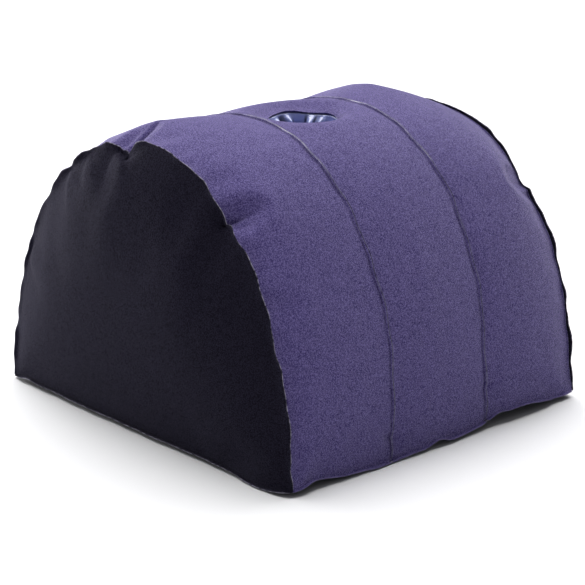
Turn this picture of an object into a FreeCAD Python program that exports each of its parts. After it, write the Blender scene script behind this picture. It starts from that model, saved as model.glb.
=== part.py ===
import FreeCAD, Part
import math
import os
from FreeCAD import Vector

# Inflatable half-round cushion made of welded flocked film, in millimetres.
# Frame: origin at the centre of the base's underside, +Z up, +X across the arch,
# -Y towards the front end panel and +Y towards the rear end panel with the valve.

# Sheet and weld sizes
FILM = 0.6
LIP = 4.0

# Cushion sizes, taken along the weld seams
SEAM_LENGTH = 384.0
LOBE_COUNT = 3
END_WIDTH = 432.0
END_HEIGHT = 284.0
INNER_WIDTH = 440.0
INNER_HEIGHT = 296.0
LOBE_SIDE_SWELL = 2.0
LOBE_TOP_SWELL = 8.0
ARCH_STEPS = 28

# Arch shapes: power of the sides, power of the crown and sideways lean of the crown
END_SIDE_POWER = 1.9
END_TOP_POWER = 2.3
END_LEAN = 2.0
INNER_SIDE_POWER = 2.3
INNER_TOP_POWER = 2.0
INNER_LEAN = 17.0
LEG_DROP = 5.0

# End panels: a shallow dome over the half-round outline with a flat middle
DOME_SWELL = 28.0
DOME_CENTRE_Z = 110.0
DOME_FLAT_SCALE = 0.5
DOME_SCALES = (1.0, 0.86, 0.68, DOME_FLAT_SCALE)

# Baffles
VENT_RADIUS = 25.0
VENT_X = 90.0
VENT_Z = 150.0
BAFFLE_TAB = 10.0
BAFFLE_TAB_INSET = 12.0

# Pocket in the crown of the middle lobe
POCKET_RADIUS = 35.5
POCKET_MOUTH_Z = 288.0
POCKET_FLOOR_Z = 160.0
COVER_HOLE_RADIUS = 36.0
COLLAR_RADIUS = 45.0
DISH_FLAT_RADIUS = 46.0
DISH_TOP_RADIUS = 60.0
DISH_DEPTH = 16.0
RIM_THICKNESS = 1.0
RIM_CLEARANCE = 0.1
FLOOR_FLANGE = 4.0

# Valve: a screw-down collar on a welded neck, on an axis along +Y
VALVE_X = -60.0
VALVE_Z = 110.0
PANEL_HOLE_RADIUS = 17.6
FLANGE_RADIUS = 30.0
FLANGE_THICKNESS = 1.2
NECK_RADIUS = 15.8
NECK_BORE = 12.5
NECK_HEIGHT = 10.0
THREAD_PITCH = 3.0
THREAD_DEPTH = 1.0
THREAD_ROOT_WIDTH = 1.2
THREAD_CREST_WIDTH = 0.6
THREAD_EMBED = 0.3
NECK_THREAD_START = 2.4
NECK_THREAD_TURNS = 2.0
COLLAR_THREAD_TURNS = 1.5
SEAL_THICKNESS = 1.5
SEAL_INNER_RADIUS = 12.6
COLLAR_START = 1.0
COLLAR_SKIRT_INNER = 17.1
COLLAR_OUTER = 20.5
COLLAR_CEILING = 2.0
GRIP_RIBS = 24
GRIP_RIB_RADIUS = 0.9
GRIP_RIB_START = 2.0
GRIP_RIB_LENGTH = 10.0
INSERT_RADIUS = 10.45
INSERT_HOLE_RADIUS = 10.5
INSERT_BORE = 8.5
INSERT_DEPTH = 6.0
INSERT_SHOULDER_RADIUS = 12.3
INSERT_SHOULDER = 1.2
WEB_WIDTH = 1.2
WEB_HEIGHT = 1.5
WEB_START = -5.0
BOSS_RADIUS = 14.0
BOSS_HEIGHT = 1.5
BOSS_LIP_RADIUS = 14.6
BOSS_LIP_HEIGHT = 0.5

# Check flap on the inner end of the valve insert
FLAP_RADIUS = 9.8
FLAP_THICKNESS = 0.8
FLAP_GAP = 0.1
FLAP_EAR_REACH = 11.3
FLAP_EAR_HALF_WIDTH = 3.0

# Strap ring and stopper
RUNNING_GAP = 0.08
FACE_GAP = 0.1
STRAP_RING_RADIUS = 17.5
STRAP_RING_THICKNESS = 1.2
STRAP_HALF_WIDTH = 3.0
STRAP_THICKNESS = 1.2
STRAP_HINGE_REACH = 19.65
STRAP_PAD_START = 18.3
STRAP_PAD_END = 21.0
STRAP_PAD_HEIGHT = 0.7
TAB_HALF_WIDTH = 3.5
STOPPER_RADIUS = 12.0
STOPPER_THICKNESS = 1.8
PLUG_RADIUS = 8.42
PLUG_TIP_RADIUS = 8.0
PLUG_LENGTH = 4.6
PLUG_RECESS_RADIUS = 6.0
PLUG_RECESS_DEPTH = 4.0
PULL_TAB_REACH = 16.5
PULL_TAB_HALF_WIDTH = 4.0

# Derived places
Y_AXIS = Vector(0, 1, 0)
Z_AXIS = Vector(0, 0, 1)
BASE_TOP = FILM
FRONT_Y = -SEAM_LENGTH / 2
REAR_Y = SEAM_LENGTH / 2
LOBE_LENGTH = SEAM_LENGTH / LOBE_COUNT
FRONT_BAFFLE_Y = FRONT_Y + LOBE_LENGTH
REAR_BAFFLE_Y = REAR_Y - LOBE_LENGTH
POCKET_X = INNER_LEAN
VALVE_Y = REAR_Y + DOME_SWELL
SEAL_START = NECK_HEIGHT
CEILING_START = SEAL_START + SEAL_THICKNESS
BOSS_START = CEILING_START + COLLAR_CEILING
MOUTH_RIM = BOSS_START + BOSS_HEIGHT + BOSS_LIP_HEIGHT
STOPPER_START = MOUTH_RIM + FACE_GAP


def mixed(inner_value, end_value, y):
    """Value at y: the inner one between the baffles, the end one at either end seam."""
    end_share = max(0.0, abs(y) - REAR_BAFFLE_Y) / LOBE_LENGTH
    return inner_value + (end_value - inner_value) * end_share


def arch_point(half_width, height, angle, y):
    """Point on the crowned arch: angle 0 is the +X foot and pi the -X foot."""
    side_power = mixed(INNER_SIDE_POWER, END_SIDE_POWER, y)
    top_power = mixed(INNER_TOP_POWER, END_TOP_POWER, y)
    across = math.cos(angle)
    x = half_width * math.copysign(abs(across) ** (2 / side_power), across)
    rise = abs(math.sin(angle)) ** (2 / top_power)
    lean = mixed(INNER_LEAN, END_LEAN, y)
    return Vector(x + lean * rise, y, BASE_TOP + (height - BASE_TOP) * rise)


def arch_curve(half_width, height, y):
    """Smooth curve over the arch from foot to foot."""
    points = [arch_point(half_width, height, math.pi * step / ARCH_STEPS, y)
              for step in range(ARCH_STEPS + 1)]
    curve = Part.BSplineCurve()
    curve.interpolate(points)
    return curve.toShape()


def legged_outline(half_width, height, y):
    """Closed arch outline whose legs run on below the base, ready to be trimmed."""
    low = BASE_TOP - LEG_DROP
    right_foot = Vector(half_width, y, BASE_TOP)
    left_foot = Vector(-half_width, y, BASE_TOP)
    right_low = Vector(half_width, y, low)
    left_low = Vector(-half_width, y, low)
    return Part.Wire([
        arch_curve(half_width, height, y),
        Part.makeLine(left_foot, left_low),
        Part.makeLine(left_low, right_low),
        Part.makeLine(right_low, right_foot),
    ])


def half_round_outline(half_width, height, y):
    """Closed half-round outline: arch and straight foot line on top of the base."""
    right_foot = Vector(half_width, y, BASE_TOP)
    left_foot = Vector(-half_width, y, BASE_TOP)
    return Part.Wire([
        arch_curve(half_width, height, y),
        Part.makeLine(left_foot, right_foot),
    ])


def half_round_plate(half_width, height, y, thickness):
    """Flat half-round plate standing on the base, from y to y + thickness."""
    return Part.Face(half_round_outline(half_width, height, y)).extrude(Y_AXIS * thickness)


def trim_below_base(shape):
    """Cut away everything lower than the top of the base panel."""
    reach = END_WIDTH + INNER_WIDTH
    slab = Part.makeBox(2 * reach, 2 * reach, LEG_DROP * 2,
                        Vector(-reach, -reach, BASE_TOP - LEG_DROP * 2))
    return shape.cut(slab)


def lobe_body(sections, inset):
    """Filled lobe lofted through its sections, drawn in by the given inset."""
    wires = [legged_outline(half_width - inset, height - inset, y)
             for half_width, height, y in sections]
    return Part.makeLoft(wires, True, False)


def seam_lip(half_width, height, y):
    """Ring of weld lip that stands proud of a seam, one film thick."""
    outer = half_round_plate(half_width + LIP, height + LIP, y, FILM)
    opening = half_round_plate(half_width - FILM, height - FILM, y, FILM)
    return outer.cut(opening)


def side_edge(sections, side, offset, z):
    """Arc in plan along one side of a lobe, moved outwards by offset."""
    ends = [Vector(side * (half_width + offset), y, z) for half_width, height, y in sections]
    return Part.Arc(ends[0], ends[1], ends[2]).toShape()


def foot_lip(sections, side):
    """Weld lip along the foot of a lobe on one side, lying on the base panel."""
    inner = side_edge(sections, side, -FILM / 2, BASE_TOP)
    outer = side_edge(sections, side, LIP, BASE_TOP)
    edges = [
        inner,
        Part.makeLine(inner.lastVertex().Point, outer.lastVertex().Point),
        outer,
        Part.makeLine(outer.firstVertex().Point, inner.firstVertex().Point),
    ]
    face = Part.Face(Part.Wire(Part.__sortEdges__(edges)))
    return face.extrude(Z_AXIS * FILM)


def lobe_sections(front, rear):
    """Three sections of a lobe: its front seam, its swollen middle and its rear seam."""
    middle = (
        (front[0] + rear[0]) / 2 + LOBE_SIDE_SWELL,
        (front[1] + rear[1]) / 2 + LOBE_TOP_SWELL,
        (front[2] + rear[2]) / 2,
    )
    return [front, middle, rear]


def add_weld_lips(shell, sections):
    """Join a lobe's skin with the lips on its two seams and its two feet."""
    front, middle, rear = sections
    pieces = [
        seam_lip(front[0], front[1], front[2]),
        seam_lip(rear[0], rear[1], rear[2] - FILM),
        foot_lip(sections, 1),
        foot_lip(sections, -1),
    ]
    return shell.fuse(pieces).removeSplitter()


def cover_panel(front, rear):
    """One arched cover panel, open at both seams and along the base."""
    sections = lobe_sections(front, rear)
    skin = lobe_body(sections, 0).cut(lobe_body(sections, FILM))
    return add_weld_lips(trim_below_base(skin), sections)


def mirrored(shape):
    """The shape seen in the plane halfway between the two end seams."""
    return shape.mirror(Vector(0, 0, 0), Y_AXIS)


def pocket_dish(offset):
    """Dish pressed into the crown around the pocket, grown outwards by offset."""
    slope = math.atan2(DISH_DEPTH, DISH_TOP_RADIUS - DISH_FLAT_RADIUS)
    floor_radius = DISH_FLAT_RADIUS + offset * math.tan(slope / 2)
    depth = DISH_DEPTH * 2
    top_radius = floor_radius + depth / math.tan(slope)
    foot = Vector(POCKET_X, 0, POCKET_MOUTH_Z - offset)
    return Part.makeCone(floor_radius, top_radius, depth, foot, Z_AXIS)


def upright_cylinder(radius, bottom, top):
    """Cylinder on the pocket's axis between two heights."""
    return Part.makeCylinder(radius, top - bottom, Vector(POCKET_X, 0, bottom), Z_AXIS)


def upright_ring(outer_radius, inner_radius, bottom, top):
    """Ring on the pocket's axis between two heights."""
    return upright_cylinder(outer_radius, bottom, top).cut(
        upright_cylinder(inner_radius, bottom, top))


def middle_cover_panel(front, rear):
    """Arched cover panel with the dished crown and the round pocket opening."""
    sections = lobe_sections(front, rear)
    outer = lobe_body(sections, 0).cut(pocket_dish(0))
    inner = lobe_body(sections, FILM).cut(pocket_dish(FILM))
    skin = trim_below_base(outer.cut(inner))
    mouth = upright_cylinder(COVER_HOLE_RADIUS, POCKET_MOUTH_Z - LIP, POCKET_MOUTH_Z + LIP)
    return add_weld_lips(skin.cut(mouth), sections)


def domed_body(shift):
    """Filled dome of the rear end panel, growing towards +Y from its seam plane and shift."""
    wires = []
    for scale in DOME_SCALES:
        rise = DOME_SWELL * (1 - scale ** 2) / (1 - DOME_FLAT_SCALE ** 2)
        outline = half_round_outline(END_WIDTH / 2, END_HEIGHT, REAR_Y)
        outline.scale(scale, Vector(0, REAR_Y, DOME_CENTRE_Z))
        outline.translate(Y_AXIS * (shift + rise))
        wires.append(outline)
    return Part.makeLoft(wires, True, False)


def end_panel():
    """Domed end panel with its lips, welded on the rear seam plane and swelling to +Y."""
    skin = domed_body(0).cut(domed_body(-FILM))
    opening = half_round_plate(END_WIDTH / 2 - FILM, END_HEIGHT - FILM, REAR_Y, FILM)
    lip = half_round_plate(END_WIDTH / 2 + LIP, END_HEIGHT + LIP, REAR_Y, FILM).cut(opening)
    foot_half_width = END_WIDTH / 2 + LIP
    foot = Part.makeBox(2 * foot_half_width, LIP, FILM,
                        Vector(-foot_half_width, REAR_Y, BASE_TOP))
    return skin.fuse([lip, foot]).removeSplitter()


def rear_end_panel():
    """Rear end panel with the round hole for the valve neck."""
    hole = valve_cylinder(PANEL_HOLE_RADIUS, -LIP, LIP)
    return end_panel().cut(hole)


def base_panel(lobes):
    """Flat base sheet with three gentle arcs along each side."""
    edges = []
    for sections in lobes:
        edges.append(side_edge(sections, 1, LIP, 0))
        edges.append(side_edge(sections, -1, LIP, 0))
    foot = END_WIDTH / 2 + LIP
    for seam_y, edge_y in ((FRONT_Y, FRONT_Y - LIP), (REAR_Y, REAR_Y + LIP)):
        corners = [Vector(-foot, seam_y, 0), Vector(-foot, edge_y, 0),
                   Vector(foot, edge_y, 0), Vector(foot, seam_y, 0)]
        edges += [Part.makeLine(a, b) for a, b in zip(corners, corners[1:])]
    outline = Part.Wire(Part.__sortEdges__(edges))
    return Part.Face(outline).extrude(Z_AXIS * FILM)


def baffle(y):
    """Upright inner sheet between two lobes, with air vents and a bent foot tab."""
    plate = half_round_plate(INNER_WIDTH / 2 + LIP, INNER_HEIGHT + LIP, y - FILM / 2, FILM)
    for side in (-1, 1):
        centre = Vector(side * VENT_X, y - FILM, VENT_Z)
        plate = plate.cut(Part.makeCylinder(VENT_RADIUS, 2 * FILM, centre, Y_AXIS))
    tab_half_width = INNER_WIDTH / 2 - BAFFLE_TAB_INSET
    tab = Part.makeBox(2 * tab_half_width, BAFFLE_TAB, FILM,
                       Vector(-tab_half_width, y, BASE_TOP))
    return plate.fuse(tab).removeSplitter()


def pocket_liner():
    """Straight tube of the pocket with a collar under the cover and a foot flange."""
    collar_top = POCKET_MOUTH_Z - FILM
    outside = POCKET_RADIUS + FILM
    tube = upright_ring(outside, POCKET_RADIUS, POCKET_FLOOR_Z, collar_top)
    collar = upright_ring(COLLAR_RADIUS, POCKET_RADIUS, collar_top - FILM, collar_top)
    flange = upright_ring(outside + FLOOR_FLANGE, POCKET_RADIUS,
                          POCKET_FLOOR_Z, POCKET_FLOOR_Z + FILM)
    return tube.fuse([collar, flange]).removeSplitter()


def pocket_rim():
    """Stiffening ring welded under the liner's collar."""
    top = POCKET_MOUTH_Z - 2 * FILM
    return upright_ring(COLLAR_RADIUS, POCKET_RADIUS + FILM + RIM_CLEARANCE,
                        top - RIM_THICKNESS, top)


def pocket_floor():
    """Round sheet that closes the bottom of the pocket."""
    return upright_cylinder(POCKET_RADIUS + FILM + FLOOR_FLANGE,
                            POCKET_FLOOR_Z - FILM, POCKET_FLOOR_Z)


def valve_cylinder(radius, start, end):
    """Cylinder on the valve axis between two distances from the panel's outer face."""
    foot = Vector(VALVE_X, VALVE_Y + start, VALVE_Z)
    return Part.makeCylinder(radius, end - start, foot, Y_AXIS)


def valve_ring(outer_radius, inner_radius, start, end):
    """Ring on the valve axis between two distances from the panel's outer face."""
    return valve_cylinder(outer_radius, start, end).cut(
        valve_cylinder(inner_radius, start, end))


def valve_box(x_range, out_range, z_range):
    """Box placed by its ranges about the valve axis: across, outwards and up."""
    corner = Vector(VALVE_X + x_range[0], VALVE_Y + out_range[0], VALVE_Z + z_range[0])
    return Part.makeBox(x_range[1] - x_range[0], out_range[1] - out_range[0],
                        z_range[1] - z_range[0], corner)


def thread_ridge(wall_radius, direction, start, turns):
    """Right-hand screw ridge on a wall, growing outwards (1) or inwards (-1)."""
    buried = wall_radius - direction * THREAD_EMBED
    crest = wall_radius + direction * THREAD_DEPTH
    half_root = THREAD_ROOT_WIDTH / 2
    half_crest = THREAD_CREST_WIDTH / 2
    profile = Part.makePolygon([
        Vector(buried, 0, -half_root),
        Vector(crest, 0, -half_crest),
        Vector(crest, 0, half_crest),
        Vector(buried, 0, half_root),
        Vector(buried, 0, -half_root),
    ])
    helix = Part.makeHelix(THREAD_PITCH, THREAD_PITCH * turns, wall_radius)
    ridge = Part.Wire(helix).makePipeShell([profile], True, True)
    ridge.rotate(Vector(0, 0, 0), Vector(1, 0, 0), -90)
    ridge.translate(Vector(VALVE_X, VALVE_Y + start, VALVE_Z))
    return ridge


def valve_base():
    """Flange welded inside the rear panel with the threaded neck that passes out."""
    flange_start = -FILM - FLANGE_THICKNESS
    body = valve_cylinder(FLANGE_RADIUS, flange_start, -FILM).fuse(
        valve_cylinder(NECK_RADIUS, flange_start, NECK_HEIGHT))
    thread = thread_ridge(NECK_RADIUS, 1, NECK_THREAD_START, NECK_THREAD_TURNS)
    bore = valve_cylinder(NECK_BORE, flange_start - FILM, NECK_HEIGHT + FILM)
    return body.fuse(thread).cut(bore)


def seal_ring():
    """Flat seal pinched between the neck's rim and the collar."""
    return valve_ring(NECK_RADIUS, SEAL_INNER_RADIUS, SEAL_START, CEILING_START)


def screw_collar():
    """Ribbed collar that screws down over the neck and carries the valve insert."""
    skirt = valve_ring(COLLAR_OUTER, COLLAR_SKIRT_INNER, COLLAR_START, CEILING_START)
    ceiling = valve_cylinder(COLLAR_OUTER, CEILING_START, BOSS_START)
    boss = valve_cylinder(BOSS_RADIUS, BOSS_START, BOSS_START + BOSS_HEIGHT)
    boss_lip = valve_cylinder(BOSS_LIP_RADIUS, BOSS_START + BOSS_HEIGHT, MOUTH_RIM)
    half_turn = THREAD_PITCH / 2
    thread = thread_ridge(COLLAR_SKIRT_INNER, -1, NECK_THREAD_START + half_turn,
                          COLLAR_THREAD_TURNS)
    ribs = []
    for index in range(GRIP_RIBS):
        angle = 2 * math.pi * index / GRIP_RIBS
        rib = valve_cylinder(GRIP_RIB_RADIUS, GRIP_RIB_START, GRIP_RIB_START + GRIP_RIB_LENGTH)
        rib.translate(Vector(COLLAR_OUTER * math.cos(angle), 0, COLLAR_OUTER * math.sin(angle)))
        ribs.append(rib)
    inside = valve_cylinder(COLLAR_SKIRT_INNER, COLLAR_START, CEILING_START)
    outside = skirt.fuse([ceiling, boss, boss_lip] + ribs).cut(inside)
    insert_hole = valve_cylinder(INSERT_HOLE_RADIUS, CEILING_START - FILM, MOUTH_RIM + FILM)
    return outside.fuse(thread).cut(insert_hole)


def valve_insert():
    """Inner tube of the valve with its mouth, shoulder and flap-support cross."""
    tube = valve_cylinder(INSERT_RADIUS, -INSERT_DEPTH, MOUTH_RIM)
    shoulder = valve_cylinder(INSERT_SHOULDER_RADIUS, CEILING_START - INSERT_SHOULDER,
                              CEILING_START)
    bore = valve_cylinder(INSERT_BORE, -INSERT_DEPTH, MOUTH_RIM)
    reach = (INSERT_RADIUS + INSERT_BORE) / 2
    thin = (-WEB_WIDTH / 2, WEB_WIDTH / 2)
    wide = (-reach, reach)
    web_span = (WEB_START, WEB_START + WEB_HEIGHT)
    bars = [valve_box(thin, web_span, wide), valve_box(wide, web_span, thin)]
    return tube.fuse(shoulder).cut(bore).fuse(bars).removeSplitter()


def check_flap():
    """Soft disc that seals the insert's inner end, with the ear that it bends on."""
    outer_face = -INSERT_DEPTH - FLAP_GAP
    span = (outer_face - FLAP_THICKNESS, outer_face)
    disc = valve_cylinder(FLAP_RADIUS, span[0], span[1])
    ear = valve_box((-FLAP_EAR_HALF_WIDTH, FLAP_EAR_HALF_WIDTH), span, (0, FLAP_EAR_REACH))
    return disc.fuse(ear).removeSplitter()


def strap_ring():
    """Ring that turns in the collar's groove and holds the strap's root."""
    start = BOSS_START + FACE_GAP
    end = start + STRAP_RING_THICKNESS
    inner = BOSS_RADIUS + RUNNING_GAP
    across = (-TAB_HALF_WIDTH, TAB_HALF_WIDTH)
    middle = (inner + STRAP_RING_RADIUS) / 2
    tab = valve_box(across, (start, end), (-STRAP_PAD_END, -middle))
    pad = valve_box(across, (start, end + STRAP_PAD_HEIGHT), (-STRAP_PAD_END, -STRAP_PAD_START))
    bore = valve_cylinder(inner, start, end)
    return valve_cylinder(STRAP_RING_RADIUS, start, end).fuse([tab, pad]).cut(bore)


def stopper():
    """Stopper with its plug, pull tab and the strap that ends at the strap hinge."""
    end = STOPPER_START + STOPPER_THICKNESS
    cap = valve_cylinder(STOPPER_RADIUS, STOPPER_START, end)
    plug_foot = Vector(VALVE_X, VALVE_Y + STOPPER_START - PLUG_LENGTH, VALVE_Z)
    plug = Part.makeCone(PLUG_TIP_RADIUS, PLUG_RADIUS, PLUG_LENGTH, plug_foot, Y_AXIS)
    recess = valve_cylinder(PLUG_RECESS_RADIUS, end - PLUG_RECESS_DEPTH, end)
    strap_span = (STOPPER_START, STOPPER_START + STRAP_THICKNESS)
    across = (-STRAP_HALF_WIDTH, STRAP_HALF_WIDTH)
    edge = STOPPER_RADIUS - FILM
    strap = valve_box(across, strap_span, (-STRAP_HINGE_REACH, -edge))
    barrel_foot = Vector(VALVE_X - STRAP_HALF_WIDTH,
                         VALVE_Y + STOPPER_START + STRAP_THICKNESS / 2,
                         VALVE_Z - STRAP_HINGE_REACH)
    barrel = Part.makeCylinder(STRAP_THICKNESS / 2, 2 * STRAP_HALF_WIDTH, barrel_foot,
                               Vector(1, 0, 0))
    pull_tab = valve_box((-PULL_TAB_HALF_WIDTH, PULL_TAB_HALF_WIDTH), strap_span,
                         (edge - FILM, PULL_TAB_REACH))
    return cap.fuse([plug, strap, barrel, pull_tab]).cut(recess).removeSplitter()


def build_nodes():
    """Every separate piece of the cushion by name."""
    half_end = END_WIDTH / 2
    half_inner = INNER_WIDTH / 2
    front_seam = (half_end, END_HEIGHT, FRONT_Y)
    rear_seam = (half_end, END_HEIGHT, REAR_Y)
    inner_seams = {}
    for name, seam_y in (("front", FRONT_BAFFLE_Y), ("rear", REAR_BAFFLE_Y)):
        inner_seams[name] = [(half_inner, INNER_HEIGHT, seam_y + side * FILM / 2)
                             for side in (-1, 1)]
    front_cover = cover_panel(front_seam, inner_seams["front"][0])
    middle_cover = middle_cover_panel(inner_seams["front"][1], inner_seams["rear"][0])
    lobes = [lobe_sections(*span) for span in (
        (front_seam, (half_inner, INNER_HEIGHT, FRONT_BAFFLE_Y)),
        ((half_inner, INNER_HEIGHT, FRONT_BAFFLE_Y), (half_inner, INNER_HEIGHT, REAR_BAFFLE_Y)),
        ((half_inner, INNER_HEIGHT, REAR_BAFFLE_Y), rear_seam),
    )]
    return {
        "front_end_panel": mirrored(end_panel()),
        "rear_end_panel": rear_end_panel(),
        "base_panel": base_panel(lobes),
        "front_cover_panel": front_cover,
        "middle_cover_panel": middle_cover,
        "rear_cover_panel": mirrored(front_cover),
        "front_baffle": baffle(FRONT_BAFFLE_Y),
        "rear_baffle": baffle(REAR_BAFFLE_Y),
        "pocket_liner": pocket_liner(),
        "pocket_rim": pocket_rim(),
        "pocket_floor": pocket_floor(),
        "valve_base": valve_base(),
        "seal_ring": seal_ring(),
        "screw_collar": screw_collar(),
        "valve_insert": valve_insert(),
        "check_flap": check_flap(),
        "strap_ring": strap_ring(),
        "stopper": stopper(),
    }


def main():
    """Write one STEP file for each piece."""
    os.makedirs("parts", exist_ok=True)
    for name, shape in build_nodes().items():
        shape.exportStep(f"parts/{name}.step")


main()
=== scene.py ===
# Inflatable half-round cushion: flocked panels, welded seams, lined pocket and screw valve

import math
import bmesh
import bpy
import numpy as np
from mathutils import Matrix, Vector, geometry


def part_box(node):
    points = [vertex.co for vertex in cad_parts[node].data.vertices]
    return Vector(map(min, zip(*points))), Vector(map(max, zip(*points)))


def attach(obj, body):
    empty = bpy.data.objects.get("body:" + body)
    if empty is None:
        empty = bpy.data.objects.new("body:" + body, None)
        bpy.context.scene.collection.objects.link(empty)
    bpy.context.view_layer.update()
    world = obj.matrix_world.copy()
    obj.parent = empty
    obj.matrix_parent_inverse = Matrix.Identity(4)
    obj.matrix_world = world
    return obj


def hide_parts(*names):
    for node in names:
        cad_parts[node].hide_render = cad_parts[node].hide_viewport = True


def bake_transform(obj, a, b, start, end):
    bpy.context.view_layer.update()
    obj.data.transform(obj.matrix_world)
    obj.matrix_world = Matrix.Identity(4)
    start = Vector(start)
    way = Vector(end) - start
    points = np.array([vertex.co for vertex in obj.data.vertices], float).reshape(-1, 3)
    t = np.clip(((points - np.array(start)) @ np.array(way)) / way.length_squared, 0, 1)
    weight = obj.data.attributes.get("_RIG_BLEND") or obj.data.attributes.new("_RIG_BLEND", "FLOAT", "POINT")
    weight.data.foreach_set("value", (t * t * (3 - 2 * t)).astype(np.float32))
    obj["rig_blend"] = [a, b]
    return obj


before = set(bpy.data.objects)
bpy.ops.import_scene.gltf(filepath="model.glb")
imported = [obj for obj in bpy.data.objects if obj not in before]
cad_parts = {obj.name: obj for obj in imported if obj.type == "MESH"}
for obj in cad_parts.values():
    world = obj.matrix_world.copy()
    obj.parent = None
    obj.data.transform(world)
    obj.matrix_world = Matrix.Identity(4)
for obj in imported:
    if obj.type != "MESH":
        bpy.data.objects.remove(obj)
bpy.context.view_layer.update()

# Sheet and weld sizes, in metres
SHEET = 0.0006
LIP = 0.004
LIP_GAP = 0.00008
BAFFLE_HALF = 0.0003

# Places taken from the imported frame
FRONT_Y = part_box("front_cover_panel")[0].y
REAR_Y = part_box("rear_cover_panel")[1].y
INNER_YS = [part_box(name)[0].y + BAFFLE_HALF for name in ("front_baffle", "rear_baffle")]
END_HALF_WIDTH = -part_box("front_end_panel")[0].x - LIP
END_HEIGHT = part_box("front_end_panel")[1].z - LIP
INNER_HALF_WIDTH = -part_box("front_baffle")[0].x - LIP
INNER_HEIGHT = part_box("front_baffle")[1].z - LIP
POCKET_LOW, POCKET_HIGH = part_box("pocket_liner")
POCKET_X = (POCKET_LOW.x + POCKET_HIGH.x) / 2
POCKET_Y = (POCKET_LOW.y + POCKET_HIGH.y) / 2
POCKET_MOUTH_Z = POCKET_HIGH.z + SHEET
POCKET_FLOOR_Z = POCKET_LOW.z
SEAL_LOW, SEAL_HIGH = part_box("seal_ring")
VALVE_X = (SEAL_LOW.x + SEAL_HIGH.x) / 2
VALVE_Z = (SEAL_LOW.z + SEAL_HIGH.z) / 2
VALVE_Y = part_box("rear_end_panel")[1].y
PANEL_HOLE_RADIUS = 0.0176
VENT_X = 0.090
VENT_Z = 0.150
VENT_RADIUS = 0.025
FLANGE_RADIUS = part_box("valve_base")[1].x - VALVE_X
STOPPER_LOW, STOPPER_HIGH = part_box("stopper")
CAP_RADIUS = STOPPER_HIGH.x - VALVE_X
CAP_THICKNESS = 0.0018
CAP_FACE_Y = STOPPER_HIGH.y - CAP_THICKNESS
PLUG_TIP_Y = STOPPER_LOW.y
STRAP_THICKNESS = 0.0012
STRAP_HALF_WIDTH = 0.0030
HINGE_Z = STOPPER_LOW.z + STRAP_THICKNESS / 2
PULL_TAB_TOP = STOPPER_HIGH.z
STRAP_PAD_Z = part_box("strap_ring")[0].z
STRAP_PAD_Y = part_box("strap_ring")[1].y

STOPPER_STEPS = 64
TAB_SECTIONS = 10
TAB_HALF_WIDTH = 0.0040
TAB_TIP_INSET = 0.0012
TAB_RIB = 0.00025
TAB_RIBS = (4, 6, 8)
SQUARE = ((-1, -1), (1, -1), (1, 1), (-1, 1))

# Flat-cut sizes of the sheets before air goes in
CELL = 0.0050
LOBES = 3
CUT_LENGTH_GAIN = 0.0035
FRONT_HEIGHT_GAIN = 0.013
REAR_HEIGHT_GAIN = 0.003
END_WIDTH_GAIN = -0.0025
INNER_WIDTH_GAIN = -0.0015
LOBE_SWELLS = (0.0030, 0.0040, 0.0080)
SIDE_SWELL_SHARE = 0.60
FULL_SWELL_HEIGHT = 0.12
BASE_END_BOW = 0.0055
BOW_HEIGHT = 0.05

# The soft mouth of the pocket: a little oval, tilted, lower than the CAD's and shifted along X
MOUTH_RADIUS = 0.0348
MOUTH_SQUEEZE = 0.0025
MOUTH_LONG_SIDE = math.radians(138)
MOUTH_TILT = 0.0016
MOUTH_HIGH_SIDE = math.radians(170)
MOUTH_DROP = 0.0025
MOUTH_SHIFT = 0.0040
MOUTH_SHIFT_DEPTH = 0.050
MOUTH_WAVE = 0.0006
MOUTH_BLEND_RADIUS = 0.062
MOUTH_LIP = 0.0015
PATCH_HALF_CELLS = 11
PATCH_LAYERS = 5

# Stiff ring under the lining's collar
RIM_LOW, RIM_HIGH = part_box("pocket_rim")
RIM_OUTER_RADIUS = RIM_HIGH.x - POCKET_X
RIM_INNER_RADIUS = 0.0362
RIM_STEPS = 96

# Arch shapes: power of the sides, power of the crown, sideways lean of the crown
FRONT_SHAPE = (2.0, 2.20, 0.0066)
REAR_SHAPE = (2.18, 2.4, -0.002)
INNER_SHAPE = (2.3, 2.0, POCKET_X)

# The base weld stands a little off the floor; it dips and rises along the edge
FOOT_LIFT = 0.0036
LOWEST_FOOT = 0.0016
CORNER_LIFT = 0.0016
CORNER_FLARE = 0.0040
FLARE_HEIGHT = 0.014
FRONT_TILT = 0.0020
FRONT_CORNER_DROP = 0.75
FOOT_DIPS = ((-0.172, 0.0060, 0.030), (-0.080, -0.0030, 0.022), (-0.010, 0.0050, 0.010),
             (0.076, 0.0030, 0.010), (0.105, 0.0095, 0.050))
EAR_X = 0.184
EAR_WIDTH = 0.034
EAR_BULGE = 0.0085
EAR_DROP = 0.75

# Wander of the two inner seams along Y at arc shares from their +X feet
WANDER_SHARES = (0, 0.10, 0.20, 0.28, 0.38, 0.46, 0.53)
SEAM_WANDER = ((-0.0085, -0.0043, -0.0030, -0.0075, -0.0060, -0.0035, 0),
               (-0.0055, -0.0070, -0.0050, -0.0045, -0.0045, -0.0020, 0))

# Fine waves of the inner seams: size, turns per arc share, phase, turns per metre of Y
SEAM_WAVES = ((0.0011, 47, 0.6, 0), (0.0007, 113, 0, 9))

# Gathers along the end seams before inflation: arc share from the +X foot, depth
FRONT_NOTCHES = ((0.321, 0.0022), (0.590, 0.0003), (0.653, 0.0005), (0.692, 0.0003),
                 (0.730, 0.0006), (0.772, 0.0006), (0.812, 0.0008), (0.850, 0.0006),
                 (0.885, 0.0006))
REAR_NOTCHES = ((0.088, 0.0020), (0.177, 0.0012), (0.274, 0.0010), (0.405, 0.0010),
                (0.56, 0.0035), (0.67, 0.003), (0.78, 0.0035), (0.89, 0.003))
NOTCH_REACH = 0.018
NOTCH_WIDTH = 0.009

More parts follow.
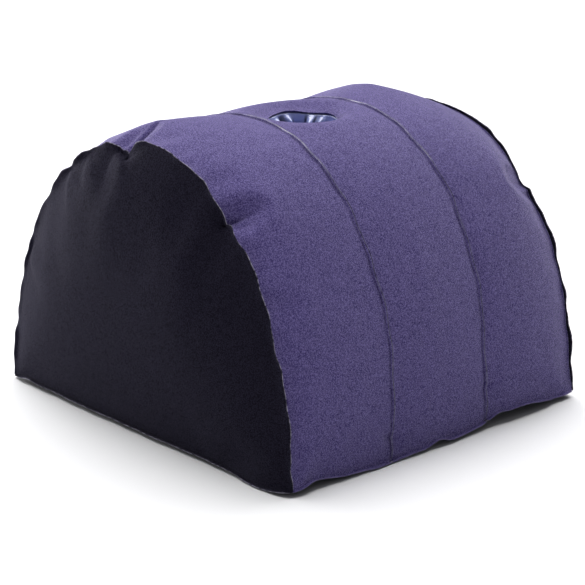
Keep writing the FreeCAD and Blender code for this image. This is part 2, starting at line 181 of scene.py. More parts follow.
# Tucks pressed in after inflation: seam number from the front, arc share, crease direction,
# length, mouth width and depth at the seam, crease width and depth beyond it, and how far the
# cloth on the crease's +X side lies below the other side
TUCKS = (
    (0, 0.522, (-0.04, 1.00, 0.10), 0.054, 0.0300, 0.0105, 0.0028, 0.0050, 0.0045),
    (0, 0.321, (0.30, 0.95, 0.10), 0.026, 0.0060, 0.0016, 0.0026, 0.0024, 0.0),
    (3, 0.274, (-0.10, -1.00, 0.15), 0.022, 0.0075, -0.0038, 0.0026, 0.0018, 0.0),
    (1, 0.022, (0.0, -0.80, 0.50), 0.040, 0.0220, 0.0034, 0.0070, 0.0014, 0.0),
    (2, 0.040, (0.0, 0.90, 0.30), 0.026, 0.0120, 0.0024, 0.0040, 0.0014, 0.0),
)
TUCK_CENTRE_HEIGHT = 0.09
TUCK_FLANK_SHARE = 0.22
TUCK_STEP_REACH = 0.022
TUCK_START = 0.008
# Crease depth at which the painted shade along a tuck's crease is full
TUCK_DARK_DEPTH = 0.004
TUCK_RISE = 0.034
TUCK_FALL = 0.012
TUCK_MOUTH_REACH = 0.011
TUCK_REFINE_REACH = 0.010
TUCK_CUTS = 3

# Weld lips: shares of the full lip width, and how the inner ones fold towards the rear
INNER_LIP_SHARE = 0.58
INNER_LIP_LEAN = 0.40
END_LIP_SHARE = 1.25
COVER_END_LIP_SHARE = 0.35
BAFFLE_LIP_SHARE = 0.9

# Painted shade: its tone value along the inner welds, and how far it darkens the flock and the lining's
# vinyl creases
WELD_SHADE = -0.55
PAINTED_SHADE_SHARE = 0.25
VINYL_CREASE_SHARE = 0.12

# How far the base sheet's edge and the baffles follow the welds, and the baffles' slack
BASE_EDGE_REACH = 0.024
BAFFLE_HOLD_REACH = 0.035
BAFFLE_BELLY = 0.002

# Folds of the pocket's lining: angle, half width, reach inwards, twist per metre of depth
LINER_FOLDS = ((2.10, 0.15, 0.0120, 4.0), (2.98, 0.13, 0.0105, -8.0), (1.70, 0.12, 0.0075, 6.0),
               (3.50, 0.16, 0.0100, -9.0), (0.90, 0.20, 0.0040, 5.0), (5.10, 0.22, 0.0090, -5.0),
               (0.10, 0.16, 0.0070, 7.0), (4.25, 0.20, 0.0100, 3.0))
LINER_RIPPLES = ((6, 2.1, 0.0016), (11, 4.0, 0.0009))

# Painted shade in the creases where the lining folds under itself: angle, half width, twist per metre of
# depth
LINER_CREASES = ((3.24, 0.13, -9.0), (2.30, 0.045, 4.0), (1.96, 0.040, 5.0), (1.18, 0.11, 7.0),
                 (0.30, 0.05, 5.0), (4.60, 0.06, -4.0), (5.60, 0.05, 3.0))

LINER_STEPS = 216
LINER_RADIUS = 0.0353
LINER_INSET = 0.0007
LINER_DROP = 0.0006
LINER_COLLAR_RADII = (0.044, 0.0385)
LINER_DEEPEST_FOLD = 0.019
LINER_FOLDS_START = 0.009
LINER_FOLDS_END = (0.090, 0.125)
LINER_DEPTHS = [*np.linspace(0, 0.012, 9), *np.linspace(0.0145, 0.118, 40),
                POCKET_MOUTH_Z - POCKET_FLOOR_Z - 0.001]

# Pocket floor: first and last radius, slack in its middle, ripple around it
FLOOR_RADII = (0.004, 0.0398)
FLOOR_RINGS = 10
FLOOR_STEPS = 72
FLOOR_SAG = 0.004
FLOOR_RIPPLE = 0.0008

# Inflation: cloth settings, how firmly the inner seams hold, and how far the end domes stay
CLOTH = {
    "quality": 5, "mass": 0.02, "air_damping": 1.0,
    "tension_stiffness": 15, "compression_stiffness": 15, "shear_stiffness": 8,
    "bending_stiffness": 4, "vertex_group_bending": "stiff", "bending_stiffness_max": 24,
    "use_pressure": True, "uniform_pressure_force": 6.0, "vertex_group_mass": "pins",
}
SIM_FRAMES = 40
SEAM_HOLD = 0.62
SEAM_HOLD_LENGTHS = (0.036, 0.061, 0.140)
SEAM_HOLD_SIZES = (0.10, 0.10, 0.06)
DOME_SHARE = 0.76
CALM_PASSES = 16
CALM_SHARE = 0.5

# How much the puckers of the two end seams are eased: arc shares and the eased part at each
FRONT_CALM = ((0, 0.45, 0.56, 1), (0, 0, 0.55, 0.55))
REAR_CALM = ((0, 0.20, 0.26, 0.52, 0.60, 1), (0.2, 0.2, 0.85, 0.85, 0.3, 0.3))
SEAM_CALM_PASSES = 60
SEAM_CALM_REACH = 0.030
SEAM_CALM_COLUMNS = 9

# Grid columns of the two end seams, by side
END_COLUMNS = {-1: 0, 1: -1}

# The stage's floor
FLOOR_REACH = 40.0
FLOOR_Z = -0.0005


def smooth_step(t):
    """Smooth 0 to 1 ramp of a clipped share."""
    t = np.clip(t, 0.0, 1.0)
    return t * t * (3 - 2 * t)


def resample(line, count):
    """Points at equal arc steps along a polyline: count steps, count + 1 points."""
    steps = np.linalg.norm(np.diff(line, axis=0), axis=1)
    along = np.concatenate([[0.0], np.cumsum(steps)])
    wanted = np.linspace(0, along[-1], count + 1)
    return np.stack([np.interp(wanted, along, line[:, k]) for k in range(line.shape[1])], 1)


def arch_line(half_width, height, shape, count):
    """Crowned arch in the XZ plane from the +X foot to the -X foot."""
    side_power, top_power, lean = shape
    angle = np.linspace(0, math.pi, 1441)
    across = np.cos(angle)
    rise = np.abs(np.sin(angle)) ** (2 / top_power)
    x = half_width * np.sign(across) * np.abs(across) ** (2 / side_power)
    return resample(np.stack([x + lean * rise, height * rise], 1), count)


# The arches that every cover section is mixed from, as fine lines over the arc share
ARC_TABLE_STEPS = 2400
FRONT_ARCH = arch_line(END_HALF_WIDTH + END_WIDTH_GAIN, END_HEIGHT + FRONT_HEIGHT_GAIN,
                       FRONT_SHAPE, ARC_TABLE_STEPS)
REAR_ARCH = arch_line(END_HALF_WIDTH + END_WIDTH_GAIN, END_HEIGHT + REAR_HEIGHT_GAIN,
                      REAR_SHAPE, ARC_TABLE_STEPS)
INNER_ARCH = arch_line(INNER_HALF_WIDTH + INNER_WIDTH_GAIN, INNER_HEIGHT,
                       INNER_SHAPE, ARC_TABLE_STEPS)
ARC_SHARES = np.linspace(0, 1, ARC_TABLE_STEPS + 1)
CUT_SEAMS = [FRONT_Y - CUT_LENGTH_GAIN, INNER_YS[0], INNER_YS[1], REAR_Y + CUT_LENGTH_GAIN]


def arch_at(share, y):
    """XZ points of the cover's section at arc shares and y values, before it swells."""
    end_share = np.clip((np.abs(y) - INNER_YS[1]) / (CUT_SEAMS[3] - INNER_YS[1]), 0, 1)
    mixed = []
    for axis in range(2):
        inner = np.interp(share, ARC_SHARES, INNER_ARCH[:, axis])
        front = np.interp(share, ARC_SHARES, FRONT_ARCH[:, axis])
        rear = np.interp(share, ARC_SHARES, REAR_ARCH[:, axis])
        mixed.append(inner + (np.where(y < 0, front, rear) - inner) * end_share)
    return np.stack(mixed, 1)


def foot_height(x, y):
    """Height of the base weld above the floor at places along the feet."""
    end = np.clip(np.abs(y) / REAR_Y, 0, 1)
    side = np.clip(np.abs(x) / END_HALF_WIDTH, 0, 1)
    corner = smooth_step((end - 0.80) / 0.2) * smooth_step((side - 0.80) / 0.2)
    lift = FOOT_LIFT + CORNER_LIFT * corner * np.where((x > 0) & (y < 0), 0.0, 1.0)
    at_front = smooth_step((-y / REAR_Y - 0.8) / 0.15)
    lift = lift + FRONT_TILT * at_front * (1 - x / END_HALF_WIDTH) / 2
    for place, rise, width in FOOT_DIPS:
        lift = lift + rise * np.exp(-((y - place) / width) ** 2) * smooth_step((side - 0.8) / 0.1)
    lift = lift * (1 - FRONT_CORNER_DROP * corner * ((x < 0) & (y < 0)))
    ear = np.exp(-((x - EAR_X) / EAR_WIDTH) ** 2) * smooth_step((-y / REAR_Y - 0.9) / 0.08)
    return np.maximum(lift * (1 - EAR_DROP * ear), LOWEST_FOOT)


def seam_drift(share, y):
    """Shift along Y of the cover's lines, most at the +X feet of the inner seams."""
    near = []
    for seam in (1, 2):
        before, here, after = CUT_SEAMS[seam - 1:seam + 2]
        near.append(np.interp(y, [before, here, after], [0.0, 1.0, 0.0]))
    pull = sum(closeness * np.interp(share, WANDER_SHARES, wander)
               for closeness, wander in zip(near, SEAM_WANDER))
    wave = sum(size * np.sin(share * rate + phase + y * slant)
               for size, rate, phase, slant in SEAM_WAVES)
    calm = smooth_step((np.abs(share - 0.5) - 0.07) / 0.05)
    return pull + wave * np.minimum(near[0] + near[1], 1) * calm


def seam_notches(share, y):
    """Depth of the small gathers that start the scallops of the two end seams."""
    depth = np.zeros(np.broadcast(share, y).shape)
    for side, places in ((-1, FRONT_NOTCHES), (1, REAR_NOTCHES)):
        seam = CUT_SEAMS[0] if side < 0 else CUT_SEAMS[-1]
        fade = np.exp(-np.abs(y - seam) / NOTCH_REACH)
        for place, size in places:
            depth = depth + size * fade * np.exp(-np.abs(share - place) / NOTCH_WIDTH)
    return depth


def cover_surface(share, y):
    """3-D points of the cut cover: arch, lobes with a little slack, and the pocket's dimple."""
    share = np.asarray(share, float)
    y = np.asarray(y, float)
    here = arch_at(share, y)
    step = 2e-3
    ahead = arch_at(np.minimum(share + step, 1), y) - arch_at(np.maximum(share - step, 0), y)
    ahead /= np.linalg.norm(ahead, axis=1)[:, None]
    out = np.stack([ahead[:, 1], -ahead[:, 0]], 1)
    lobe = np.clip(np.searchsorted(CUT_SEAMS, y, side="right") - 1, 0, LOBES - 1)
    starts = np.array(CUT_SEAMS[:-1])[lobe]
    ends = np.array(CUT_SEAMS[1:])[lobe]
    phase = (2 * y - starts - ends) / (ends - starts)
    full = smooth_step(here[:, 1] / FULL_SWELL_HEIGHT)
    swell = np.array(LOBE_SWELLS)[lobe] * np.clip(1 - phase ** 2, 0, 1)
    x = here[:, 0] + out[:, 0] * swell * (SIDE_SWELL_SHARE + (1 - SIDE_SWELL_SHARE) * full)
    z = here[:, 1] + np.maximum(out[:, 1], 0) * swell * full
    reach = np.hypot(x - POCKET_X, y - POCKET_Y)
    dip = smooth_step((reach - MOUTH_RADIUS) / (MOUTH_BLEND_RADIUS - MOUTH_RADIUS))
    near = (reach < MOUTH_BLEND_RADIUS) & (z > POCKET_MOUTH_Z / 2)
    z = np.where(near, POCKET_MOUTH_Z + (z - POCKET_MOUTH_Z) * dip, z)
    notch = seam_notches(share, y)
    x = x - out[:, 0] * notch
    z = z - out[:, 1] * notch
    y = y + seam_drift(share, y)
    end = smooth_step((np.abs(y) / REAR_Y - 0.85) / 0.15)
    x = x + CORNER_FLARE * end * np.sign(x) * np.exp(-(z / FLARE_HEIGHT) ** 2)
    foot = foot_height(x, y)
    z = foot + z * (1 - foot / INNER_HEIGHT)
    return np.stack([x, y, z], 1)


class Envelope:
    """The whole skin as one welded mesh: points, faces by panel, and its named edges."""

    def __init__(self):
        self.points = []
        self.faces = {"cover0": [], "cover1": [], "cover2": [], "front_end": [], "rear_end": []}
        self.rows = 0
        self.grid = None
        self.seam_columns = []
        self.mouth = []
        self.end_base = {}
        self.holes = {}
        self.tucks = []

    def add(self, points):
        """Append points and return their numbers."""
        first = len(self.points)
        self.points.extend([tuple(p) for p in points])
        return list(range(first, len(self.points)))


def build_cover(skin):
    """Quad grid over the three lobes, with a round mouth patched into the middle one."""
    arc = np.linalg.norm(np.diff(INNER_ARCH, axis=0), axis=1).sum()
    rows = int(round(arc / CELL / 2)) * 2
    per_lobe = int(round((INNER_YS[1] - INNER_YS[0]) / CELL / 2)) * 2
    ys = np.concatenate([np.linspace(a, b, per_lobe + 1)[int(k > 0):]
                         for k, (a, b) in enumerate(zip(CUT_SEAMS, CUT_SEAMS[1:]))])
    shares = np.arange(rows + 1) / rows
    middle_column = len(ys) // 2
    crown = cover_surface(shares, np.full(rows + 1, POCKET_Y))
    middle_row = int(np.argmin(np.abs(crown[:, 0] - POCKET_X) + (crown[:, 2] < POCKET_MOUTH_Z / 2)))
    skin.grid = np.full((rows + 1, len(ys)), -1)
    half = PATCH_HALF_CELLS
    for column, y in enumerate(ys):
        keep = [row for row in range(rows + 1)
                if not (abs(row - middle_row) < half and abs(column - middle_column) < half)]
        numbers = skin.add(cover_surface(shares[keep], np.full(len(keep), y)))
        skin.grid[keep, column] = numbers
    for column in range(len(ys) - 1):
        panel = f"cover{column // per_lobe}"
        for row in range(rows):
            corners = [skin.grid[row, column], skin.grid[row, column + 1],
                       skin.grid[row + 1, column + 1], skin.grid[row + 1, column]]
            in_patch = (-half <= row - middle_row < half
                        and -half <= column - middle_column < half)
            if not in_patch:
                skin.faces[panel].append(tuple(int(c) for c in corners))
    skin.rows = rows
    skin.seam_columns = [per_lobe * k for k in range(LOBES + 1)]
    patch_mouth(skin, shares, ys, middle_row, middle_column)


def patch_mouth(skin, shares, ys, middle_row, middle_column):
    """Rings of quads from the square block in the grid down to the round mouth."""
    half = PATCH_HALF_CELLS
    walk = ([(half, k) for k in range(-half, half)] + [(-k, half) for k in range(-half, half)]
            + [(-half, -k) for k in range(-half, half)] + [(k, -half) for k in range(-half, half)])
    outer = [int(skin.grid[middle_row + r, middle_column + c]) for r, c in walk]
    outer_share = np.array([shares[middle_row + r] for r, c in walk])
    outer_y = np.array([ys[middle_column + c] for r, c in walk])
    arc = np.linalg.norm(np.diff(INNER_ARCH, axis=0), axis=1).sum()
    centre_share = shares[middle_row]
    turn = np.arctan2(outer_y - POCKET_Y, -(outer_share - centre_share) * arc)
    ring_x = POCKET_X + MOUTH_RADIUS * np.cos(turn)
    crown = INNER_ARCH[:, 1] > INNER_HEIGHT / 2
    ring_share = np.interp(ring_x, INNER_ARCH[crown, 0][::-1], ARC_SHARES[crown][::-1])
    ring_y = POCKET_Y + MOUTH_RADIUS * np.sin(turn)
    previous = outer
    for layer in range(1, PATCH_LAYERS + 1):
        t = layer / PATCH_LAYERS
        share = outer_share + (ring_share - outer_share) * t
        y = outer_y + (ring_y - outer_y) * t
        current = skin.add(cover_surface(share, y))
        count = len(current)
        for k in range(count):
            after = (k + 1) % count
            skin.faces["cover1"].append((previous[k], previous[after], current[after], current[k]))
        previous = current
    skin.mouth = previous
    for number in skin.mouth:
        x, y, _ = skin.points[number]
        turn = math.atan2(y - POCKET_Y, x - POCKET_X)
        skin.points[number] = tuple(mouth_points(np.array([turn]))[0])


def mouth_points(turn):
    """Points of the pocket's mouth at angles about its axis: a little oval and tilted."""
    across = np.cos(turn - MOUTH_LONG_SIDE)
    radius = MOUTH_RADIUS - MOUTH_SQUEEZE * across ** 2 + MOUTH_WAVE * np.sin(5 * turn + 0.7)
    height = POCKET_MOUTH_Z - MOUTH_DROP + MOUTH_WAVE * np.sin(4 * turn + 2.0)
    height += MOUTH_TILT * np.cos(turn - MOUTH_HIGH_SIDE)
    x = POCKET_X + MOUTH_SHIFT + radius * np.cos(turn)
    return np.stack([x, POCKET_Y + radius * np.sin(turn), height], 1)


def fill_outline(outline, holes, cell, seed):
    """Even triangles inside a 2-D outline: (points, triangles); outline points come first."""
    rng = np.random.default_rng(seed)
    loops = [np.asarray(outline)] + [np.asarray(h) for h in holes]
    border = np.concatenate(loops)
    low, high = border.min(0), border.max(0)
    row_step = cell * math.sqrt(3) / 2
    inside = []
    for row in range(int((high[1] - low[1]) / row_step) + 1):
        for column in range(int((high[0] - low[0]) / cell) + 2):
            shift = cell * 0.5 * (row % 2)
            jitter = rng.uniform(-0.08, 0.08, 2) * cell
            inside.append((low[0] + column * cell - shift + jitter[0],
                           low[1] + row * row_step + jitter[1]))
    inside = np.array(inside)
    keep = in_loop(inside, loops[0])
    for hole in loops[1:]:
        keep &= ~in_loop(inside, hole)
    inside = inside[keep]
    gap = np.array([np.sqrt(((border - p) ** 2).sum(1)).min() for p in inside])
    inside = inside[gap > 0.62 * cell]
    edges, start = [], 0
    for loop in loops:
        edges += [(start + k, start + (k + 1) % len(loop)) for k in range(len(loop))]
        start += len(loop)
    points = [Vector(p) for p in np.concatenate([border, inside])]
    _, _, triangles, origins, _, _ = geometry.delaunay_2d_cdt(points, edges, [], 1, 1e-9)
    where = [source[0] for source in origins]
    flat = np.array([tuple(p) for p in points])
    faces = []
    for triangle in triangles:
        corners = [where[k] for k in triangle]
        centre = flat[corners].mean(0)[None]
        if any(in_loop(centre, hole)[0] for hole in loops[1:]):
            continue
        faces.append(tuple(corners))
    return flat, faces


def in_loop(points, loop):
    """Which points lie inside a closed 2-D loop."""
    x, y = points[:, 0], points[:, 1]
    inside = np.zeros(len(points), bool)
    for (x1, y1), (x2, y2) in zip(loop, np.roll(loop, -1, axis=0)):
        crosses = (y1 > y) != (y2 > y)
        with np.errstate(divide="ignore", invalid="ignore"):
            at = (x2 - x1) * (y - y1) / (y2 - y1) + x1
        inside ^= crosses & (x < at)
    return inside


def circle(centre, radius, count):
    """Points of a circle in a plane."""
    angle = np.arange(count) * 2 * math.pi / count
    return np.stack([centre[0] + radius * np.cos(angle), centre[1] + radius * np.sin(angle)], 1)


def build_end(skin, name, column, side, holes):
    """Half-round end panel that shares its arch points with the cover's edge."""
    arch = [int(n) for n in skin.grid[:, column]]
    points = np.array(skin.points)
    line = points[arch][:, [0, 2]]
    line[[0, -1], 1] = 0
    steps = int(round((line[0, 0] - line[-1, 0]) / CELL))
    foot_x = np.linspace(line[-1, 0], line[0, 0], steps + 1)[1:-1]
    outline = np.concatenate([line, np.stack([foot_x, np.zeros(len(foot_x))], 1)])
    flat, faces = fill_outline(outline, holes, CELL, 11)
    y = CUT_SEAMS[0] if side < 0 else CUT_SEAMS[-1]
    bow = BASE_END_BOW * (1 - (flat[:, 0] / line[0, 0]) ** 2)
    if side < 0:
        bow += EAR_BULGE * np.exp(-((flat[:, 0] - EAR_X) / EAR_WIDTH) ** 2)
    low = np.exp(-flat[:, 1] / BOW_HEIGHT)
    foot = foot_height(flat[:, 0], np.full(len(flat), y))
    height = foot + flat[:, 1] * (1 - foot / END_HEIGHT)
    fresh = np.stack([flat[:, 0], y + side * bow * low, height], 1)[len(arch):]
    numbers = arch + skin.add(fresh)
    for face in faces:
        corners = [numbers[k] for k in face]
        a, b, c = [flat[k] for k in face]
        turns_out = np.sign(np.cross(b - a, c - a)) == -side
        skin.faces[name].append(tuple(corners if turns_out else corners[::-1]))
    skin.end_base[name] = numbers[len(arch):len(arch) + len(foot_x)]
    first_hole = len(outline)
    skin.holes[name] = [numbers[first_hole + k] for k in range(sum(len(h) for h in holes))]


def build_envelope():
    """The flat-cut skin, ready for inflation."""
    skin = Envelope()
    build_cover(skin)
    build_end(skin, "front_end", 0, -1, [])
    valve_hole = circle((VALVE_X, VALVE_Z), PANEL_HOLE_RADIUS, 40)
    build_end(skin, "rear_end", skin.grid.shape[1] - 1, 1, [valve_hole])
    return skin


def link_object(name, data):
    """New object in the scene for a mesh, light or camera."""
    obj = bpy.data.objects.new(name, data)
    bpy.context.scene.collection.objects.link(obj)
    return obj


def hold_edges(skin, obj):
    """Pin the feet and the mouth, and hold the inner seams with uneven weights."""
    pins = obj.vertex_groups.new(name="pins")
    feet = [*skin.grid[0], *skin.grid[-1], *skin.end_base["front_end"], *skin.end_base["rear_end"]]
    pins.add([int(n) for n in feet + skin.mouth], 1.0, "REPLACE")
    rng = np.random.default_rng(7)
    along = np.arange(skin.rows + 1) * CELL
    for column in skin.seam_columns[1:-1]:
        holds = SEAM_HOLD + waves(along, column, SEAM_HOLD_LENGTHS, SEAM_HOLD_SIZES)
        for row in range(1, skin.rows):
            weight = float(np.clip(holds[row] + rng.uniform(-0.04, 0.04), 0.3, 0.9))
            pins.add([int(skin.grid[row, column])], weight, "REPLACE")


def inflate(skin):
    """Blow the skin up as cloth, stiffer on the +X side, and return the settled points."""
    points = np.array(skin.points, float)
    faces = [face for panel in skin.faces.values() for face in panel]
    mesh = bpy.data.meshes.new("inflating")
    mesh.from_pydata(points.tolist(), [], faces)
    obj = link_object("inflating", mesh)
    hold_edges(skin, obj)
    stiff = obj.vertex_groups.new(name="stiff")
    firmness = 0.15 + 0.85 * smooth_step((points[:, 0] + 0.03) / 0.06)
    for number, weight in enumerate(firmness):
        stiff.add([number], float(weight), "REPLACE")
    cloth = obj.modifiers.new("Cloth", "CLOTH")
    for key, value in CLOTH.items():
        setattr(cloth.settings, key, value)
    cloth.settings.effector_weights.gravity = 0
    cloth.collision_settings.use_collision = False
    cloth.collision_settings.use_self_collision = False
    cloth.point_cache.frame_start = 1
    cloth.point_cache.frame_end = SIM_FRAMES
    scene = bpy.context.scene
    scene.frame_end = SIM_FRAMES
    for step in range(1, SIM_FRAMES + 1):
        scene.frame_set(step)
    settled = obj.evaluated_get(bpy.context.evaluated_depsgraph_get())
    co = np.zeros(len(points) * 3, np.float32)
    settled.data.vertices.foreach_get("co", co)
    bpy.data.objects.remove(obj)
    bpy.data.meshes.remove(mesh)
    scene.frame_set(1)
    return co.reshape(-1, 3).astype(float)


def settle_shape(skin, points):
    """Bring the inflated points to the frame: flatter domes, a seat for the valve, calmer seams."""
    out = points.copy()
    beyond = np.abs(out[:, 1]) - REAR_Y
    over = beyond > 0
    out[over, 1] = np.sign(out[over, 1]) * (REAR_Y + beyond[over] * DOME_SHARE)
    used = np.unique(np.array(skin.faces["rear_end"]))
    reach = np.hypot(out[used, 0] - VALVE_X, out[used, 2] - VALVE_Z)
    seat = 1 - smooth_step((reach - FLANGE_RADIUS) / (FLANGE_RADIUS * 1.3))
    out[used, 1] += (VALVE_Y - out[used, 1]) * seat
    out[:, 2] = np.maximum(out[:, 2], LOWEST_FOOT)
    calm_end(skin, out, "front_end")
    calm_end(skin, out, "rear_end")
    calm_seam(skin, out, "front_end", 0, 1, FRONT_CALM)
    calm_seam(skin, out, "rear_end", -1, -1, REAR_CALM)
    return out


def calm_end(skin, points, panel):
    """Ease the sharper creases of an end panel, whose edge stays in the weld."""
    faces = np.array(skin.faces[panel])
    pairs = np.concatenate([faces[:, [0, 1]], faces[:, [1, 2]], faces[:, [2, 0]]])
    pairs = np.concatenate([pairs, pairs[:, ::-1]])
    fixed = {int(n) for n in skin.grid[:, [0, -1]].ravel()}
    fixed.update(skin.end_base[panel] + skin.holes[panel])
    free = np.array([n for n in np.unique(faces) if int(n) not in fixed])
    count = np.bincount(pairs[:, 0], minlength=len(points))
    for _ in range(CALM_PASSES):
        total = np.zeros(points.shape)
        np.add.at(total, pairs[:, 0], points[pairs[:, 1]])
        mean = total[free] / count[free][:, None]
        points[free] += CALM_SHARE * (mean - points[free])


def calm_seam(skin, points, panel, column, inwards, calm):
    """Ease the puckers of an end seam and take the cloth beside it along."""
    numbers = skin.grid[:, column]
    line = points[numbers]
    share = np.arange(len(line)) / skin.rows
    shift = (soften(line, SEAM_CALM_PASSES) - line) * np.interp(share, *calm)[:, None]
    beside = np.setdiff1d(np.unique(np.array(skin.faces[panel])), numbers)
    apart = np.linalg.norm(points[beside][:, None] - line[None], axis=2)
    fade = np.exp(-(apart.min(1) / SEAM_CALM_REACH) ** 2)
    points[beside] += shift[apart.argmin(1)] * fade[:, None]
    for step in range(SEAM_CALM_COLUMNS):
        fade = math.exp(-(step * CELL / SEAM_CALM_REACH) ** 2)
        points[skin.grid[:, column + inwards * step]] += shift * fade


class Tuck:
    """A pinch that opens at a seam and runs on into the cover as a narrow crease."""

    def __init__(self, skin, points, seam, share, direction, *sizes):
        column = skin.seam_columns[seam]
        self.place = points[skin.grid[int(round(share * skin.rows)), column]].copy()
        out = np.array([self.place[0], 0, self.place[2] - TUCK_CENTRE_HEIGHT])
        self.out = out / np.linalg.norm(out)
        along = np.array(direction) - self.out * np.dot(direction, self.out)
        self.along = along / np.linalg.norm(along)
        (self.length, self.mouth, self.mouth_depth, self.crease, self.crease_depth,
         self.step) = sizes

    def split(self, points):
        """Distances along the crease, outwards and sideways of it."""
        away = points - self.place
        along = away @ self.along
        up = away @ self.out
        rest = away - np.outer(along, self.along) - np.outer(up, self.out)
        return along, up, np.linalg.norm(rest, axis=1)

    def near(self, points):
        """Which points need a finer mesh to carry the crease."""
        along, up, sideways = self.split(points)
        reach = self.crease + TUCK_REFINE_REACH
        level = (up > -reach) & (up < TUCK_RISE)
        return level & (sideways < reach) & (along < self.length) & (along > -2 * TUCK_MOUTH_REACH)

    def press(self, points):
        """Move points into the tuck, in place; returns how deep each lies in the crease, which is painted as
        shade.
        """
        along, up, sideways = self.split(points)
        at_mouth = np.exp(-(along / TUCK_MOUTH_REACH) ** 2)
        wide = np.clip(1 - sideways / self.mouth, 0, 1) ** 1.25
        run = np.clip(1 - along / self.length, 0, 1) ** 0.6 * smooth_step(along / TUCK_START)
        thin = np.clip(1 - sideways / self.crease, 0, 1) ** 0.9
        flank = np.exp(-((sideways / self.crease - 1.7) / 0.8) ** 2)
        sink = self.mouth_depth * wide * at_mouth
        sink += self.crease_depth * run * (thin - TUCK_FLANK_SHARE * flank)
        beside = (points - self.place) @ np.cross(self.along, self.out)
        lowered = smooth_step(beside / self.crease) * np.exp(-(beside / TUCK_STEP_REACH) ** 2)
        sink += self.step * lowered * np.where(along > 0, run, at_mouth)
        held = np.exp(-(up / np.where(up > 0, TUCK_RISE, TUCK_FALL)) ** 2)
        held *= smooth_step((points[:, 2] - 0.004) / 0.02)
        points -= np.outer(sink * held, self.out)
        return thin * run * held * min(self.crease_depth / TUCK_DARK_DEPTH, 1)


class Sheet:
    """Points and faces of one sheet, each point's tone shift (lighter worn lip edges with painted highlight
    above zero, painted shade below zero), and their numbers in the skin.
    """

    def __init__(self, points, faces):
        self.points = [Vector(p) for p in points]
        self.faces = faces
        self.number = {k: k for k in range(len(self.points))}
        self.tone_shift = {}

    def add_lip(self, edge, outwards, widths):
        """Strip of weld lip along an edge of the sheet, two cells wide."""
        base = [self.number[int(n)] for n in edge]
        previous = base
        for share in (0.5, 1.0):
            current = range(len(self.points), len(self.points) + len(base))
            self.points += [self.points[start] + Vector(way) * width * share
                            for start, way, width in zip(base, outwards, widths)]
            for k in range(len(base) - 1):
                self.faces.append((previous[k], previous[k + 1], current[k + 1], current[k]))
            previous = current
        # The lip's outer row gets the lighter edge tone: partly a worn edge, partly a painted highlight
        self.tone_shift.update(dict.fromkeys(current, 1.0))


def cut_panel(points, faces):
    """One cut panel: its own copy of the skin's points that its faces use."""
    used = np.unique([corner for face in faces for corner in face]).astype(int)
    number = {int(n): k for k, n in enumerate(used)}
    sheet = Sheet(points[used], [tuple(number[k] for k in face) for face in faces])
    sheet.number = number
    return sheet


def waves(along, seed, lengths, sizes):
    """Sum of sine waves with seeded phases, for hand-made unevenness along an edge."""
    rng = np.random.default_rng(seed)
    total = np.zeros(len(along))
    for length, size in zip(lengths, sizes):
        total += size * np.sin(2 * math.pi * along / length + rng.uniform(0, 2 * math.pi))
    return total


def edge_length(points):
    """Distance travelled along a line of points."""
    steps = np.linalg.norm(np.diff(points, axis=0), axis=1)
    return np.concatenate([[0.0], np.cumsum(steps)])


def soften(values, passes):
    """Repeated neighbour averaging along a line."""
    out = values.copy()
    for _ in range(passes):
        out[1:-1] = (out[:-2] + 2 * out[1:-1] + out[2:]) / 4
    return out


def lip_directions(line, seed, lean):
    """Directions in which a seam's lip stands, leaning to one side by an uneven angle."""
    ahead = np.gradient(soften(line, 8), axis=0)
    out = np.stack([ahead[:, 2], np.zeros(len(line)), -ahead[:, 0]], 1)
    out /= np.linalg.norm(out, axis=1)[:, None]
    angle = lean + waves(edge_length(line), seed, (0.027, 0.052, 0.130), (0.16, 0.22, 0.26))
    out *= np.cos(angle)[:, None]
    out[:, 1] = np.sin(angle)
    return out


def lip_widths(line, seed):
    """Uneven lip widths along an edge, rounded off towards both of its ends."""
    along = edge_length(line)
    to_end = np.minimum(along, along[-1] - along)
    taper = 0.30 + 0.70 * smooth_step(to_end / 0.018)
    return LIP * taper * (0.92 + waves(along, seed, (0.021, 0.047, 0.110), (0.06, 0.10, 0.12)))


def is_end_seam(skin, column):
    """Whether a seam's grid column is the front or the rear one."""
    return column in (skin.seam_columns[0], skin.seam_columns[-1])


def seam_lip(skin, points, column):
    """Directions and widths of the lip on one seam, the same for every sheet in the weld."""
    line = points[skin.grid[:, column]]
    lean, share = (0.0, 1.0) if is_end_seam(skin, column) else (INNER_LIP_LEAN, INNER_LIP_SHARE)
    return lip_directions(line, 3 + column, lean), share * lip_widths(line, 5 + column)


def foot_lip(skin, points, row):
    """Outward direction and lip widths along one side of the base, from front to rear."""
    side = 1.0 if row == 0 else -1.0
    return np.array([side, 0.0, 0.0]), lip_widths(points[skin.grid[row]], 19 + row)


def end_foot_lip(skin, points, panel, side):
    """Point numbers, outward direction and lip widths along the foot of an end panel."""
    column = END_COLUMNS[side]
    foot = [int(skin.grid[-1, column]), *skin.end_base[panel], int(skin.grid[0, column])]
    return foot, np.array([0.0, side, 0.0]), lip_widths(points[foot], 61 + side)


def add_tucks(bm, tucks):
    """Refine the mesh around each tuck, press the tuck in and paint shade along its crease."""
    for tuck in tucks:
        near = tuck.near(np.array([edge.verts[0].co + edge.verts[1].co for edge in bm.edges]) / 2)
        edges = [edge for edge, wanted in zip(bm.edges, near) if wanted]
        bmesh.ops.subdivide_edges(bm, edges=edges, cuts=TUCK_CUTS, use_grid_fill=True)
        points = np.array([vert.co for vert in bm.verts])
        depths = tuck.press(points)
        tone_shift = bm.verts.layers.float["tone_shift"]
        for vert, place, depth in zip(bm.verts, points, depths):
            vert.co = place
            # Painted shade along the crease lowers the tone value
            vert[tone_shift] -= depth


